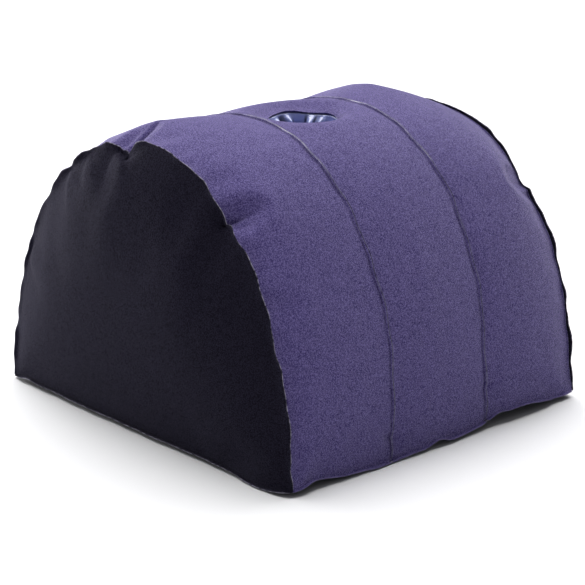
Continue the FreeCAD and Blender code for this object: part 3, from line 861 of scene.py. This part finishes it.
def make_mesh(name, sheet, facing, tucks):
    """Mesh of a sheet with its tucks, turned so that its front side faces outwards."""
    mesh = bpy.data.meshes.new(name)
    mesh.from_pydata([tuple(p) for p in sheet.points], [], sheet.faces)
    # Tone shift per point: lighter lip edges (partly worn, partly painted highlight) and painted shade in
    # welds and creases
    tone_shift = mesh.attributes.new("tone_shift", "FLOAT", "POINT")
    tone_shift.data.foreach_set("value", [sheet.tone_shift.get(k, 0.0) for k in range(len(mesh.vertices))])
    bm = bmesh.new()
    bm.from_mesh(mesh)
    add_tucks(bm, tucks)
    bmesh.ops.recalc_face_normals(bm, faces=bm.faces)
    if facing is not None:
        votes = sum(1 if face.normal.dot(facing(face.calc_center_median())) > 0 else -1
                    for face in bm.faces)
        if votes < 0:
            bmesh.ops.reverse_faces(bm, faces=bm.faces)
    bm.to_mesh(mesh)
    bm.free()
    mesh.polygons.foreach_set("use_smooth", [True] * len(mesh.polygons))
    return mesh


def make_piece(name, sheet, finish, *nodes, body="cushion", thickness=SHEET, offset=-1, levels=1,
               facing=None, tucks=()):
    """Finished piece that rides its body and stands for its CAD nodes."""
    mesh = make_mesh(name, sheet, facing, tucks)
    mesh.materials.append(MATERIALS[finish])
    obj = link_object(name, mesh)
    if thickness:
        solid = obj.modifiers.new("Thickness", "SOLIDIFY")
        solid.thickness = thickness
        solid.offset = offset
    if levels:
        smooth = obj.modifiers.new("Smooth", "SUBSURF")
        smooth.levels = levels
        smooth.render_levels = levels
    else:
        mesh.set_sharp_from_angle(angle=math.radians(35))
    if body:
        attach(obj, body)
    if nodes:
        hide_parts(*nodes)
    return obj


# ---------------------------------------------------------------- materials


def new_material(name):
    """Empty node material: the material, its node tree and its main shader."""
    material = bpy.data.materials.new(name)
    material.use_nodes = True
    tree = material.node_tree
    tree.nodes.clear()
    output = tree.nodes.new("ShaderNodeOutputMaterial")
    shader = tree.nodes.new("ShaderNodeBsdfPrincipled")
    tree.links.new(shader.outputs[0], output.inputs[0])
    return material, tree, shader


def set_inputs(tree, node, values):
    """Link each input to its socket or set it to its value; a colour gets full alpha."""
    for name, value in values.items():
        if isinstance(value, bpy.types.NodeSocket):
            tree.links.new(value, node.inputs[name])
        elif node.inputs[name].type == "RGBA":
            node.inputs[name].default_value = (*value, 1.0)
        else:
            node.inputs[name].default_value = value


def add_node(tree, kind, values, output=0, **options):
    """New node with its options and inputs set; returns one of its output sockets."""
    node = tree.nodes.new("ShaderNode" + kind)
    for key, value in options.items():
        setattr(node, key, value)
    set_inputs(tree, node, values)
    return node.outputs[output]


def noise(tree, scale, detail=2.0, roughness=0.5, stretch=None):
    """Noise in object space, in features per metre."""
    place = add_node(tree, "TexCoord", {}, "Object")
    if stretch is not None:
        place = add_node(tree, "Mapping", {"Vector": place, "Scale": stretch})
    return add_node(tree, "TexNoise", {"Vector": place, "Scale": scale, "Detail": detail,
                                       "Roughness": roughness})


def ramp(tree, source, low, high, low_value=0.0, high_value=1.0):
    """Map a value from one range to another, clamped."""
    return add_node(tree, "MapRange", {"Value": source, "From Min": low, "From Max": high,
                                       "To Min": low_value, "To Max": high_value})


def mix_colour(tree, factor, first, second):
    """Mix two colours, each a tuple or a socket, by a factor; 6, 7 and 2 are colour sockets."""
    return add_node(tree, "Mix", {0: factor, 6: first, 7: second}, 2, data_type="RGBA")


def multiply(tree, first, second):
    """Product of two value sockets or numbers."""
    return add_node(tree, "Math", {0: first, 1: second}, operation="MULTIPLY")


def tone_shift_value(tree):
    """The mesh's tone shift value: lighter lip edges, partly worn and partly painted highlight, and painted
    shade.
    """
    return add_node(tree, "Attribute", {}, "Fac", attribute_name="tone_shift")


def add_bump(tree, shader, *layers):
    """Chain bump nodes, each (height socket, distance in metres, strength)."""
    values = {}
    for height, distance, strength in layers:
        values.update({"Height": height, "Distance": distance, "Strength": strength})
        values["Normal"] = add_node(tree, "Bump", values)
    set_inputs(tree, shader, {"Normal": values["Normal"]})


def flock_material(name, deep, plain, dusty, edge, sheen_tint, sheen, gloss):
    """Short velvety flock on film: nap patches, fibre speckle, lighter lip edges that are partly worn and
    partly painted highlight, painted shade in welds and creases, grazing sheen.
    """
    material, tree, shader = new_material(name)
    nap = ramp(tree, noise(tree, 11, 3, 0.55), 0.30, 0.70)
    mottle = ramp(tree, noise(tree, 120, 3, 0.7), 0.34, 0.66)
    speckle = ramp(tree, noise(tree, 880, 2, 0.8), 0.47, 0.585)
    fibre = noise(tree, 1900, 1, 0.5)
    colour = mix_colour(tree, nap, deep, plain)
    colour = mix_colour(tree, multiply(tree, mottle, 0.22), colour, dusty)
    colour = mix_colour(tree, multiply(tree, speckle, 0.95), colour, dusty)
    tone_shift = tone_shift_value(tree)
    # Below zero the tone value paints shade into the inner welds and the tucks' creases, patchy along them
    painted_shade = ramp(tree, tone_shift, -0.75, -0.15, 0.85, 0.0)
    painted_shade = multiply(tree, painted_shade, ramp(tree, noise(tree, 95, 2), 0.36, 0.60, 0.45, 1.1))
    colour = mix_colour(tree, painted_shade, colour, tuple(part * PAINTED_SHADE_SHARE for part in deep))
    # Near one the tone value lightens the lip edges in patches: partly a worn edge, partly a painted
    # highlight where the edge catches light
    rim = ramp(tree, tone_shift, 0.55, 1.0)
    patchy = ramp(tree, noise(tree, 240, 2), 0.40, 0.60, 0.05, 0.9)
    colour = mix_colour(tree, multiply(tree, rim, patchy), colour, edge)
    set_inputs(tree, shader, {
        "Base Color": colour, "Roughness": 0.9, "Specular IOR Level": gloss,
        "Sheen Weight": sheen, "Sheen Roughness": 0.38, "Sheen Tint": sheen_tint,
    })
    add_bump(tree, shader, (noise(tree, 42, 3, 0.6), 0.0022, 0.22), (mottle, 0.0006, 0.30),
             (speckle, 0.0006, 0.60), (fibre, 0.00015, 0.5))
    return material


def vinyl_material(name, deep, plain, roughness):
    """Glossy soft vinyl with faint cloudiness and painted shade in its creases."""
    material, tree, shader = new_material(name)
    colour = mix_colour(tree, ramp(tree, noise(tree, 22, 3, 0.5), 0.35, 0.65), deep, plain)
    # The tone value darkens the vinyl towards this painted shade: the lining's creases, and the baffles' lip
    # edges, which carry the same value
    shadow = tuple(part * VINYL_CREASE_SHARE for part in deep)
    colour = mix_colour(tree, multiply(tree, tone_shift_value(tree), 0.92), colour, shadow)
    set_inputs(tree, shader, {
        "Base Color": colour, "Coat Weight": 0.8, "Coat Roughness": 0.12,
        "Roughness": ramp(tree, noise(tree, 70, 3), 0.3, 0.7, roughness * 0.7, roughness * 1.5),
    })
    add_bump(tree, shader, (noise(tree, 45, 3, 0.55, (1.0, 1.0, 0.4)), 0.003, 0.35),
             (noise(tree, 420, 2), 0.0003, 0.15))
    return material


def moulded_material(name, plain, tone_shift, roughness, grain):
    """Moulded plastic or rubber with a fine grain, colour drift and polished high spots."""
    material, tree, shader = new_material(name)
    set_inputs(tree, shader, {
        "Base Color": mix_colour(tree, ramp(tree, noise(tree, 60, 3), 0.35, 0.65), plain, tone_shift),
        "Roughness": ramp(tree, noise(tree, 190, 3), 0.3, 0.7, roughness * 0.8, roughness * 1.25),
    })
    add_bump(tree, shader, (noise(tree, 2400, 2), 0.0002, grain))
    return material


# Each finish: how it is made and its values, in the order of that function's arguments
FINISHES = {
    "purple_flock": (flock_material, (0.030, 0.020, 0.103), (0.038, 0.026, 0.120),
                     (0.163, 0.135, 0.322), (0.23, 0.21, 0.39), (0.84, 0.80, 0.92), 0.28, 0.12),
    "black_flock": (flock_material, (0.0028, 0.0024, 0.0058), (0.0044, 0.0038, 0.0085),
                    (0.0156, 0.0140, 0.0248), (0.38, 0.36, 0.46), (0.62, 0.58, 0.98), 0.066, 0.03),
    "blue_vinyl": (vinyl_material, (0.21, 0.24, 0.52), (0.39, 0.43, 0.69), 0.13),
    "inner_film": (vinyl_material, (0.028, 0.027, 0.045), (0.045, 0.042, 0.070), 0.3),
    "valve_plastic": (moulded_material, (0.013, 0.013, 0.016), (0.022, 0.022, 0.026), 0.42, 0.35),
    "valve_soft": (moulded_material, (0.020, 0.020, 0.026), (0.034, 0.034, 0.042), 0.5, 0.2),
    "seal_rubber": (moulded_material, (0.42, 0.43, 0.44), (0.5, 0.51, 0.52), 0.55, 0.2),
}
MATERIALS = {name: make(name, *values) for name, (make, *values) in FINISHES.items()}


# ---------------------------------------------------------------- sheets of the cushion


def outwards_from_core(point):
    """Direction from the cushion's inner axis to a point, for choosing the outer side."""
    return Vector((point.x, 0, point.z - 0.05))


def cover_piece(skin, points, lobe, name, node):
    """One arched cover panel with lips along both seams and both feet."""
    local = points.copy()
    columns = skin.seam_columns[lobe:lobe + 2]
    for column, inside in zip(columns, (1, -1)):
        offset = SHEET + LIP_GAP + (0 if is_end_seam(skin, column) else BAFFLE_HALF)
        local[skin.grid[:, column], 1] += inside * offset
    sheet = cut_panel(local, skin.faces[f"cover{lobe}"])
    for column in columns:
        numbers = skin.grid[:, column]
        directions, widths = seam_lip(skin, points, column)
        # Inner seams: painted shade on the cover's own seam rows darkens the valley beside the weld; end
        # seams get none
        share, shade = (COVER_END_LIP_SHARE, 0.0) if is_end_seam(skin, column) else (1, WELD_SHADE)
        sheet.add_lip(numbers, directions, widths * share)
        sheet.tone_shift.update({sheet.number[int(n)]: shade for n in numbers})
    across = slice(columns[0], columns[1] + 1)
    for row in (0, -1):
        way, widths = foot_lip(skin, points, row)
        numbers = skin.grid[row, across]
        sheet.add_lip(numbers, np.tile(way, (len(numbers), 1)), widths[across])
    if lobe == 1:
        add_mouth_lip(sheet, skin, local)
    make_piece(name, sheet, "purple_flock", node, facing=outwards_from_core, tucks=skin.tucks)


def add_mouth_lip(sheet, skin, points):
    """Narrow upright lip around the pocket's mouth."""
    ring = [*skin.mouth, skin.mouth[0]]
    away = points[ring] - [POCKET_X + MOUTH_SHIFT, POCKET_Y, 0]
    turn = np.arctan2(away[:, 1], away[:, 0])
    lean = 0.05 + 0.2 * np.sin(3 * turn + 1.0) + 0.12 * np.sin(7 * turn)
    outwards = np.stack([-np.cos(turn) * np.sin(lean), -np.sin(turn) * np.sin(lean), np.cos(lean)], 1)
    sheet.add_lip(ring, outwards, MOUTH_LIP * (1 + 0.25 * np.sin(5 * turn)))


def end_piece(skin, points, panel, side, node):
    """Half-round end panel with a lip over the arch and along the base."""
    local = points.copy()
    column = END_COLUMNS[side]
    arch = skin.grid[:, column]
    local[arch, 1] += side * (SHEET + LIP_GAP)
    sheet = cut_panel(local, skin.faces[panel])
    directions, widths = seam_lip(skin, points, skin.seam_columns[column])
    sheet.add_lip(arch, directions, widths * END_LIP_SHARE)
    foot, way, widths = end_foot_lip(skin, points, panel, side)
    sheet.add_lip(foot, np.tile(way, (len(foot), 1)), widths)
    make_piece(panel, sheet, "black_flock", node, facing=lambda p: Vector((0, side, 0)),
               tucks=skin.tucks)


def base_piece(skin, points):
    """Base sheet: its edge hangs in the weld and its middle lies on the floor."""
    edges = []
    for row in (0, -1):
        way, widths = foot_lip(skin, points, row)
        edges.append(points[skin.grid[row]] + np.outer(widths, way))
    for panel, side in (("rear_end", 1), ("front_end", -1)):
        foot, way, widths = end_foot_lip(skin, points, panel, side)
        edges.append((points[foot] + np.outer(widths, way))[1:-1])
    right, left, rear, front = edges
    outline = np.concatenate([right, rear[::-1], left[::-1], front])
    flat, faces = fill_outline(outline[:, :2], [], CELL * 1.6, 23)
    apart = np.sqrt(((flat[:, None] - outline[None, :, :2]) ** 2).sum(2))
    edge = outline[apart.argmin(1), 2] - LIP_GAP
    lowest = SHEET + LIP_GAP
    height = lowest + (edge - lowest) * np.exp(-(apart.min(1) / BASE_EDGE_REACH) ** 2)
    sheet = Sheet(np.column_stack([flat, height]), faces)
    # The base's outline gets the lighter edge tone: partly a worn edge, partly a painted highlight
    sheet.tone_shift = dict.fromkeys(range(len(outline)), 1.0)
    make_piece("base_sheet", sheet, "black_flock", "base_panel", facing=lambda p: Vector((0, 0, 1)))


def baffle_piece(skin, points, column, name, node):
    """Inner sheet that follows its seam, with two air vents and a lip in the weld."""
    line = points[skin.grid[:, column]]
    inside = line[:, [0, 2]]
    steps = int((inside[0, 0] - inside[-1, 0]) / (CELL * 2))
    share = np.linspace(0, 1, steps + 1)[1:-1, None]
    foot = inside[-1] + (inside[0] - inside[-1]) * share
    outline = np.concatenate([inside, foot])
    vents = [circle((side * VENT_X, VENT_Z), VENT_RADIUS, 32) for side in (-1, 1)]
    flat, faces = fill_outline(outline, vents, CELL * 1.5, 31)
    apart = np.sqrt(((flat[:, None] - inside[None]) ** 2).sum(2))
    hold = np.exp(-(apart.min(1) / BAFFLE_HOLD_REACH))
    middle = line[:, 1].mean()
    belly = BAFFLE_BELLY * np.sin(flat[:, 0] * 21) * np.sin(flat[:, 1] * 17) * (1 - hold)
    y = middle + (line[apart.argmin(1), 1] - middle) * hold + belly
    sheet = Sheet(np.column_stack([flat[:, 0], y, flat[:, 1]]), faces)
    directions, widths = seam_lip(skin, points, column)
    sheet.add_lip(range(len(line)), directions, widths * BAFFLE_LIP_SHARE)
    make_piece(name, sheet, "inner_film", node, thickness=SHEET * 0.8, offset=0, levels=0,
               facing=lambda p: Vector((0, 1, 0)), tucks=skin.tucks)


# ---------------------------------------------------------------- pocket


def full_turn(steps):
    """Equal angles around a circle."""
    return np.arange(steps) * 2 * math.pi / steps


def angle_apart(angle, centre):
    """Signed difference between angles, wrapped to half a turn."""
    return np.angle(np.exp(1j * (angle - centre)))


def ring_points(angle, radius, height, shift):
    """Ring of points around the pocket's axis, moved along X by a shift."""
    return np.stack([POCKET_X + shift + np.cos(angle) * radius, POCKET_Y + np.sin(angle) * radius,
                     np.zeros(len(angle)) + height], 1)


def ringed_sheet(rings, closed=False, caps=()):
    """Quads between rings of equal count; closed joins the ends, caps fill the given rings."""
    sheet = Sheet(np.concatenate(rings), [])
    around = len(rings[0])
    for ring in range(len(rings) if closed else len(rings) - 1):
        a, b = ring * around, (ring + 1) % len(rings) * around
        for k in range(around):
            after = (k + 1) % around
            sheet.faces.append((a + k, a + after, b + after, b + k))
    for ring in caps:
        first = ring % len(rings) * around
        sheet.faces.append(tuple(range(first, first + around)))
    return sheet


def liner_reach(angle, depth):
    """How far the lining's folds and ripples hang inwards at a depth."""
    reach = np.zeros(len(angle))
    for centre, width, inwards, twist in LINER_FOLDS:
        reach += inwards * np.exp(-(angle_apart(angle, centre + twist * depth) / width) ** 2)
    for count, phase, inwards in LINER_RIPPLES:
        reach += inwards * (0.5 + 0.5 * np.cos(count * angle + phase + depth * 11)) ** 2
    start, end = LINER_FOLDS_END
    loose = smooth_step(depth / LINER_FOLDS_START) * (1 - smooth_step((depth - start) / (end - start)))
    return loose * np.minimum(reach, LINER_DEEPEST_FOLD)


def liner_shade(angle, depth):
    """How much painted shade lies in the lining's creases at a depth."""
    shade = np.zeros(len(angle))
    for centre, width, twist in LINER_CREASES:
        apart = angle_apart(angle, centre + twist * depth)
        shade = np.maximum(shade, np.exp(-(apart / width) ** 4))
    return shade * smooth_step(depth / 0.004)


def liner_piece():
    """Glossy pocket lining that hangs in soft folds from the mouth to the floor ring."""
    angle = full_turn(LINER_STEPS)
    mouth = mouth_points(angle)
    mouth_radius = np.hypot(mouth[:, 0] - POCKET_X - MOUTH_SHIFT, mouth[:, 1] - POCKET_Y) - LINER_INSET
    top = mouth[:, 2] - LINER_DROP
    rings = [ring_points(angle, radius, top, MOUTH_SHIFT) for radius in LINER_COLLAR_RADII]
    dark = [np.zeros(LINER_STEPS) for _ in rings]
    for depth in LINER_DEPTHS:
        radius = mouth_radius + (LINER_RADIUS - mouth_radius) * smooth_step(depth / 0.02)
        height = top + (POCKET_MOUTH_Z - LINER_DROP - top) * smooth_step(depth / 0.1) - depth
        shift = MOUTH_SHIFT * (1 - smooth_step(depth / MOUTH_SHIFT_DEPTH))
        rings.append(ring_points(angle, radius - liner_reach(angle, depth), height, shift))
        dark.append(liner_shade(angle, depth))
    sheet = ringed_sheet(rings)
    # Painted crease shade, carried as the tone value
    sheet.tone_shift = dict(enumerate(np.concatenate(dark).tolist()))
    make_piece("pocket_lining", sheet, "blue_vinyl", "pocket_liner",
               facing=lambda p: Vector((POCKET_X - p.x, POCKET_Y - p.y, 0.001)))


def rim_piece():
    """Stiff ring under the lining's collar, tilted with the soft mouth."""
    angle = full_turn(RIM_STEPS)
    top = mouth_points(angle)[:, 2] - (POCKET_MOUTH_Z - RIM_HIGH.z) - LINER_DROP
    bottom = top - (RIM_HIGH.z - RIM_LOW.z)
    corners = ((RIM_OUTER_RADIUS, top), (RIM_INNER_RADIUS, top),
               (RIM_INNER_RADIUS, bottom), (RIM_OUTER_RADIUS, bottom))
    sheet = ringed_sheet([ring_points(angle, radius, height, MOUTH_SHIFT)
                          for radius, height in corners], closed=True)
    obj = make_piece("pocket_ring", sheet, "inner_film", "pocket_rim", thickness=0, levels=0)
    break_edges(obj)


def floor_piece():
    """Round floor of the pocket, dished slightly by its own slack."""
    angle = full_turn(FLOOR_STEPS)
    rings = []
    for radius in np.linspace(*FLOOR_RADII, FLOOR_RINGS):
        share = radius / FLOOR_RADII[1]
        ripple = FLOOR_RIPPLE * np.sin(7 * angle + 1.3) * share * (1 - share)
        height = POCKET_FLOOR_Z - FLOOR_SAG * (1 - share ** 2) + ripple
        rings.append(ring_points(angle, radius, height, 0))
    make_piece("pocket_bottom", ringed_sheet(rings, caps=[0]), "blue_vinyl", "pocket_floor",
               facing=lambda p: Vector((0, 0, 1)))


# ---------------------------------------------------------------- valve


def round_corners(points, radius, steps=4):
    """Polyline with its inner corners replaced by short curves."""
    points = [np.array(p, float) for p in points]
    out = [points[0]]
    for before, corner, after in zip(points, points[1:], points[2:]):
        back, ahead = before - corner, after - corner
        reach = min(radius, np.linalg.norm(back) / 2.1, np.linalg.norm(ahead) / 2.1)
        start = corner + back / np.linalg.norm(back) * reach
        end = corner + ahead / np.linalg.norm(ahead) * reach
        for t in np.linspace(0, 1, steps + 1):
            out.append(start * (1 - t) ** 2 + corner * 2 * t * (1 - t) + end * t ** 2)
    out.append(points[-1])
    return out


def stopper_piece():
    """Stopper with a recessed cap and a tapered plug with a sealing bead."""
    low, high = CAP_FACE_Y, CAP_FACE_Y + CAP_THICKNESS
    profile = [
        (0, high - 0.0040), (0.0060, high - 0.0040), (0.0060, high), (CAP_RADIUS, high),
        (CAP_RADIUS, low), (0.0084, low), (0.0083, low - 0.0018), (0.0084, low - 0.0026),
        (0.0082, low - 0.0034), (0.0080, PLUG_TIP_Y), (0, PLUG_TIP_Y),
    ]
    angle = full_turn(STOPPER_STEPS)
    rings = []
    for radius, y in round_corners(profile, 0.0005)[1:-1]:
        rings.append(np.stack([VALVE_X + radius * np.cos(angle), np.full(STOPPER_STEPS, y),
                               VALVE_Z + radius * np.sin(angle)], 1))
    make_piece("stopper_body", ringed_sheet(rings, caps=(0, -1)), "valve_soft", "stopper",
               body="stopper", thickness=0, levels=0)


def strap_piece():
    """Soft strap from the pad on its ring, round the bend, to the stopper's edge."""
    middle = CAP_FACE_Y + STRAP_THICKNESS / 2
    path = round_corners([
        (STRAP_PAD_Y - STRAP_THICKNESS, STRAP_PAD_Z + 0.0010), (middle, STRAP_PAD_Z + 0.0008),
        (middle, VALVE_Z - CAP_RADIUS + 0.0006),
    ], 0.0011, 5)
    corners = [(x * STRAP_HALF_WIDTH, up * STRAP_THICKNESS / 2) for x, up in SQUARE + SQUARE[:2]]
    section = round_corners(corners, STRAP_THICKNESS * 0.4, 3)[1:-1]
    path = resample(np.array(path), 26)
    ahead = np.array([path[min(k + 1, 26)] - path[max(k - 1, 0)] for k in range(27)])
    ahead /= np.linalg.norm(ahead, axis=1)[:, None]
    rings = [[(VALVE_X + x, y + up * ahead_z, z - up * ahead_y) for x, up in section]
             for (y, z), (ahead_y, ahead_z) in zip(path, ahead)]
    obj = make_piece("stopper_strap", ringed_sheet(rings, caps=(0, -1)), "valve_soft", body=None,
                     thickness=0, levels=0)
    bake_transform(obj, "strap_ring", "stopper", (VALVE_X, middle, HINGE_Z - 0.0012),
             (VALVE_X, middle, HINGE_Z + 0.0022))


def pull_tab_piece():
    """Ribbed tab for lifting the stopper."""
    middle = CAP_FACE_Y + STRAP_THICKNESS / 2
    foot = VALVE_Z + CAP_RADIUS - 0.0008
    rings = []
    for k, z in enumerate(np.linspace(foot, PULL_TAB_TOP, TAB_SECTIONS)):
        half_width = TAB_HALF_WIDTH - (TAB_TIP_INSET if k == TAB_SECTIONS - 1 else 0)
        half_depth = STRAP_THICKNESS / 2 + (TAB_RIB if k in TAB_RIBS else 0)
        rings.append([(VALVE_X + x * half_width, middle + y * half_depth, z) for x, y in SQUARE])
    make_piece("pull_tab", ringed_sheet(rings, caps=(0, -1)), "valve_soft", body="stopper",
               thickness=0, levels=2)


def finish_cad_nodes():
    """Give the CAD parts that stay their finishes and softly broken edges."""
    finishes = {
        "valve_base": "valve_plastic", "screw_collar": "valve_plastic",
        "valve_insert": "valve_plastic", "seal_ring": "seal_rubber", "check_flap": "seal_rubber",
        "strap_ring": "valve_soft",
    }
    for node, finish in finishes.items():
        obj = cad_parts[node]
        obj.data.materials.clear()
        obj.data.materials.append(MATERIALS[finish])
        break_edges(obj)


def break_edges(obj):
    """Small rounding on the sharp edges of a hard part."""
    bevel = obj.modifiers.new("Edges", "BEVEL")
    bevel.width = 0.00022
    bevel.segments = 2
    bevel.limit_method = "ANGLE"
    bevel.angle_limit = math.radians(40)


# ---------------------------------------------------------------- stage


def aim_at(obj, target):
    """Point a light or camera at a place."""
    obj.rotation_euler = (Vector(target) - obj.location).to_track_quat("-Z", "Y").to_euler()


def add_light(name, kind, place, energy, **shape):
    """Light at a place, aimed at the cushion's middle."""
    light = bpy.data.lights.new(name, kind)
    light.energy = energy
    for key, value in shape.items():
        setattr(light, key, value)
    obj = link_object(name, light)
    obj.location = place
    obj.visible_camera = False
    aim_at(obj, (0, 0, 0.15))


def build_floor():
    """Wide pale floor just under the cushion."""
    mesh = bpy.data.meshes.new("floor")
    mesh.from_pydata([(x * FLOOR_REACH, y * FLOOR_REACH, FLOOR_Z) for x, y in SQUARE], [],
                     [(0, 1, 2, 3)])
    floor_obj = link_object("floor", mesh)
    material, tree, shader = new_material("floor")
    set_inputs(tree, shader, {"Base Color": (0.73, 0.73, 0.74), "Roughness": 0.95,
                              "Specular IOR Level": 0.0})
    mesh.materials.append(material)


def build_stage():
    """Pale floor, soft studio light and the camera."""
    build_floor()
    scene = bpy.context.scene
    scene.world = bpy.data.worlds.new("studio")
    scene.world.use_nodes = True
    background = scene.world.node_tree.nodes["Background"]
    set_inputs(scene.world.node_tree, background, {"Color": (0.97, 0.98, 1.0), "Strength": 0.15})
    add_light("sky", "SUN", (-0.47, 0.28, 1.15), 6.5, angle=math.radians(80))
    add_light("side", "AREA", (-1.8, -0.32, 0.05), 58, size=0.5)
    add_light("key", "AREA", (1.1, -1.0, 1.3), 0.8, size=0.12)
    scene.view_settings.view_transform = "Standard"
    scene.camera = link_object("camera", bpy.data.cameras.new("camera"))
    scene.camera.data.lens = 111
    scene.camera.location = (1.311, -1.196, 0.640)
    aim_at(scene.camera, (0.0127, -0.0073, 0.1065))


def main():
    """Build every piece around the frame."""
    skin = build_envelope()
    points = inflate(skin)
    points = settle_shape(skin, points)
    skin.tucks = [Tuck(skin, points, *tuck) for tuck in TUCKS]
    for lobe, place in enumerate(("front", "middle", "rear")):
        cover_piece(skin, points, lobe, place + "_lobe", place + "_cover_panel")
    end_piece(skin, points, "front_end", -1, "front_end_panel")
    end_piece(skin, points, "rear_end", 1, "rear_end_panel")
    base_piece(skin, points)
    baffle_piece(skin, points, skin.seam_columns[1], "front_web", "front_baffle")
    baffle_piece(skin, points, skin.seam_columns[2], "rear_web", "rear_baffle")
    liner_piece()
    rim_piece()
    floor_piece()
    stopper_piece()
    strap_piece()
    pull_tab_piece()
    finish_cad_nodes()
    build_stage()


main()
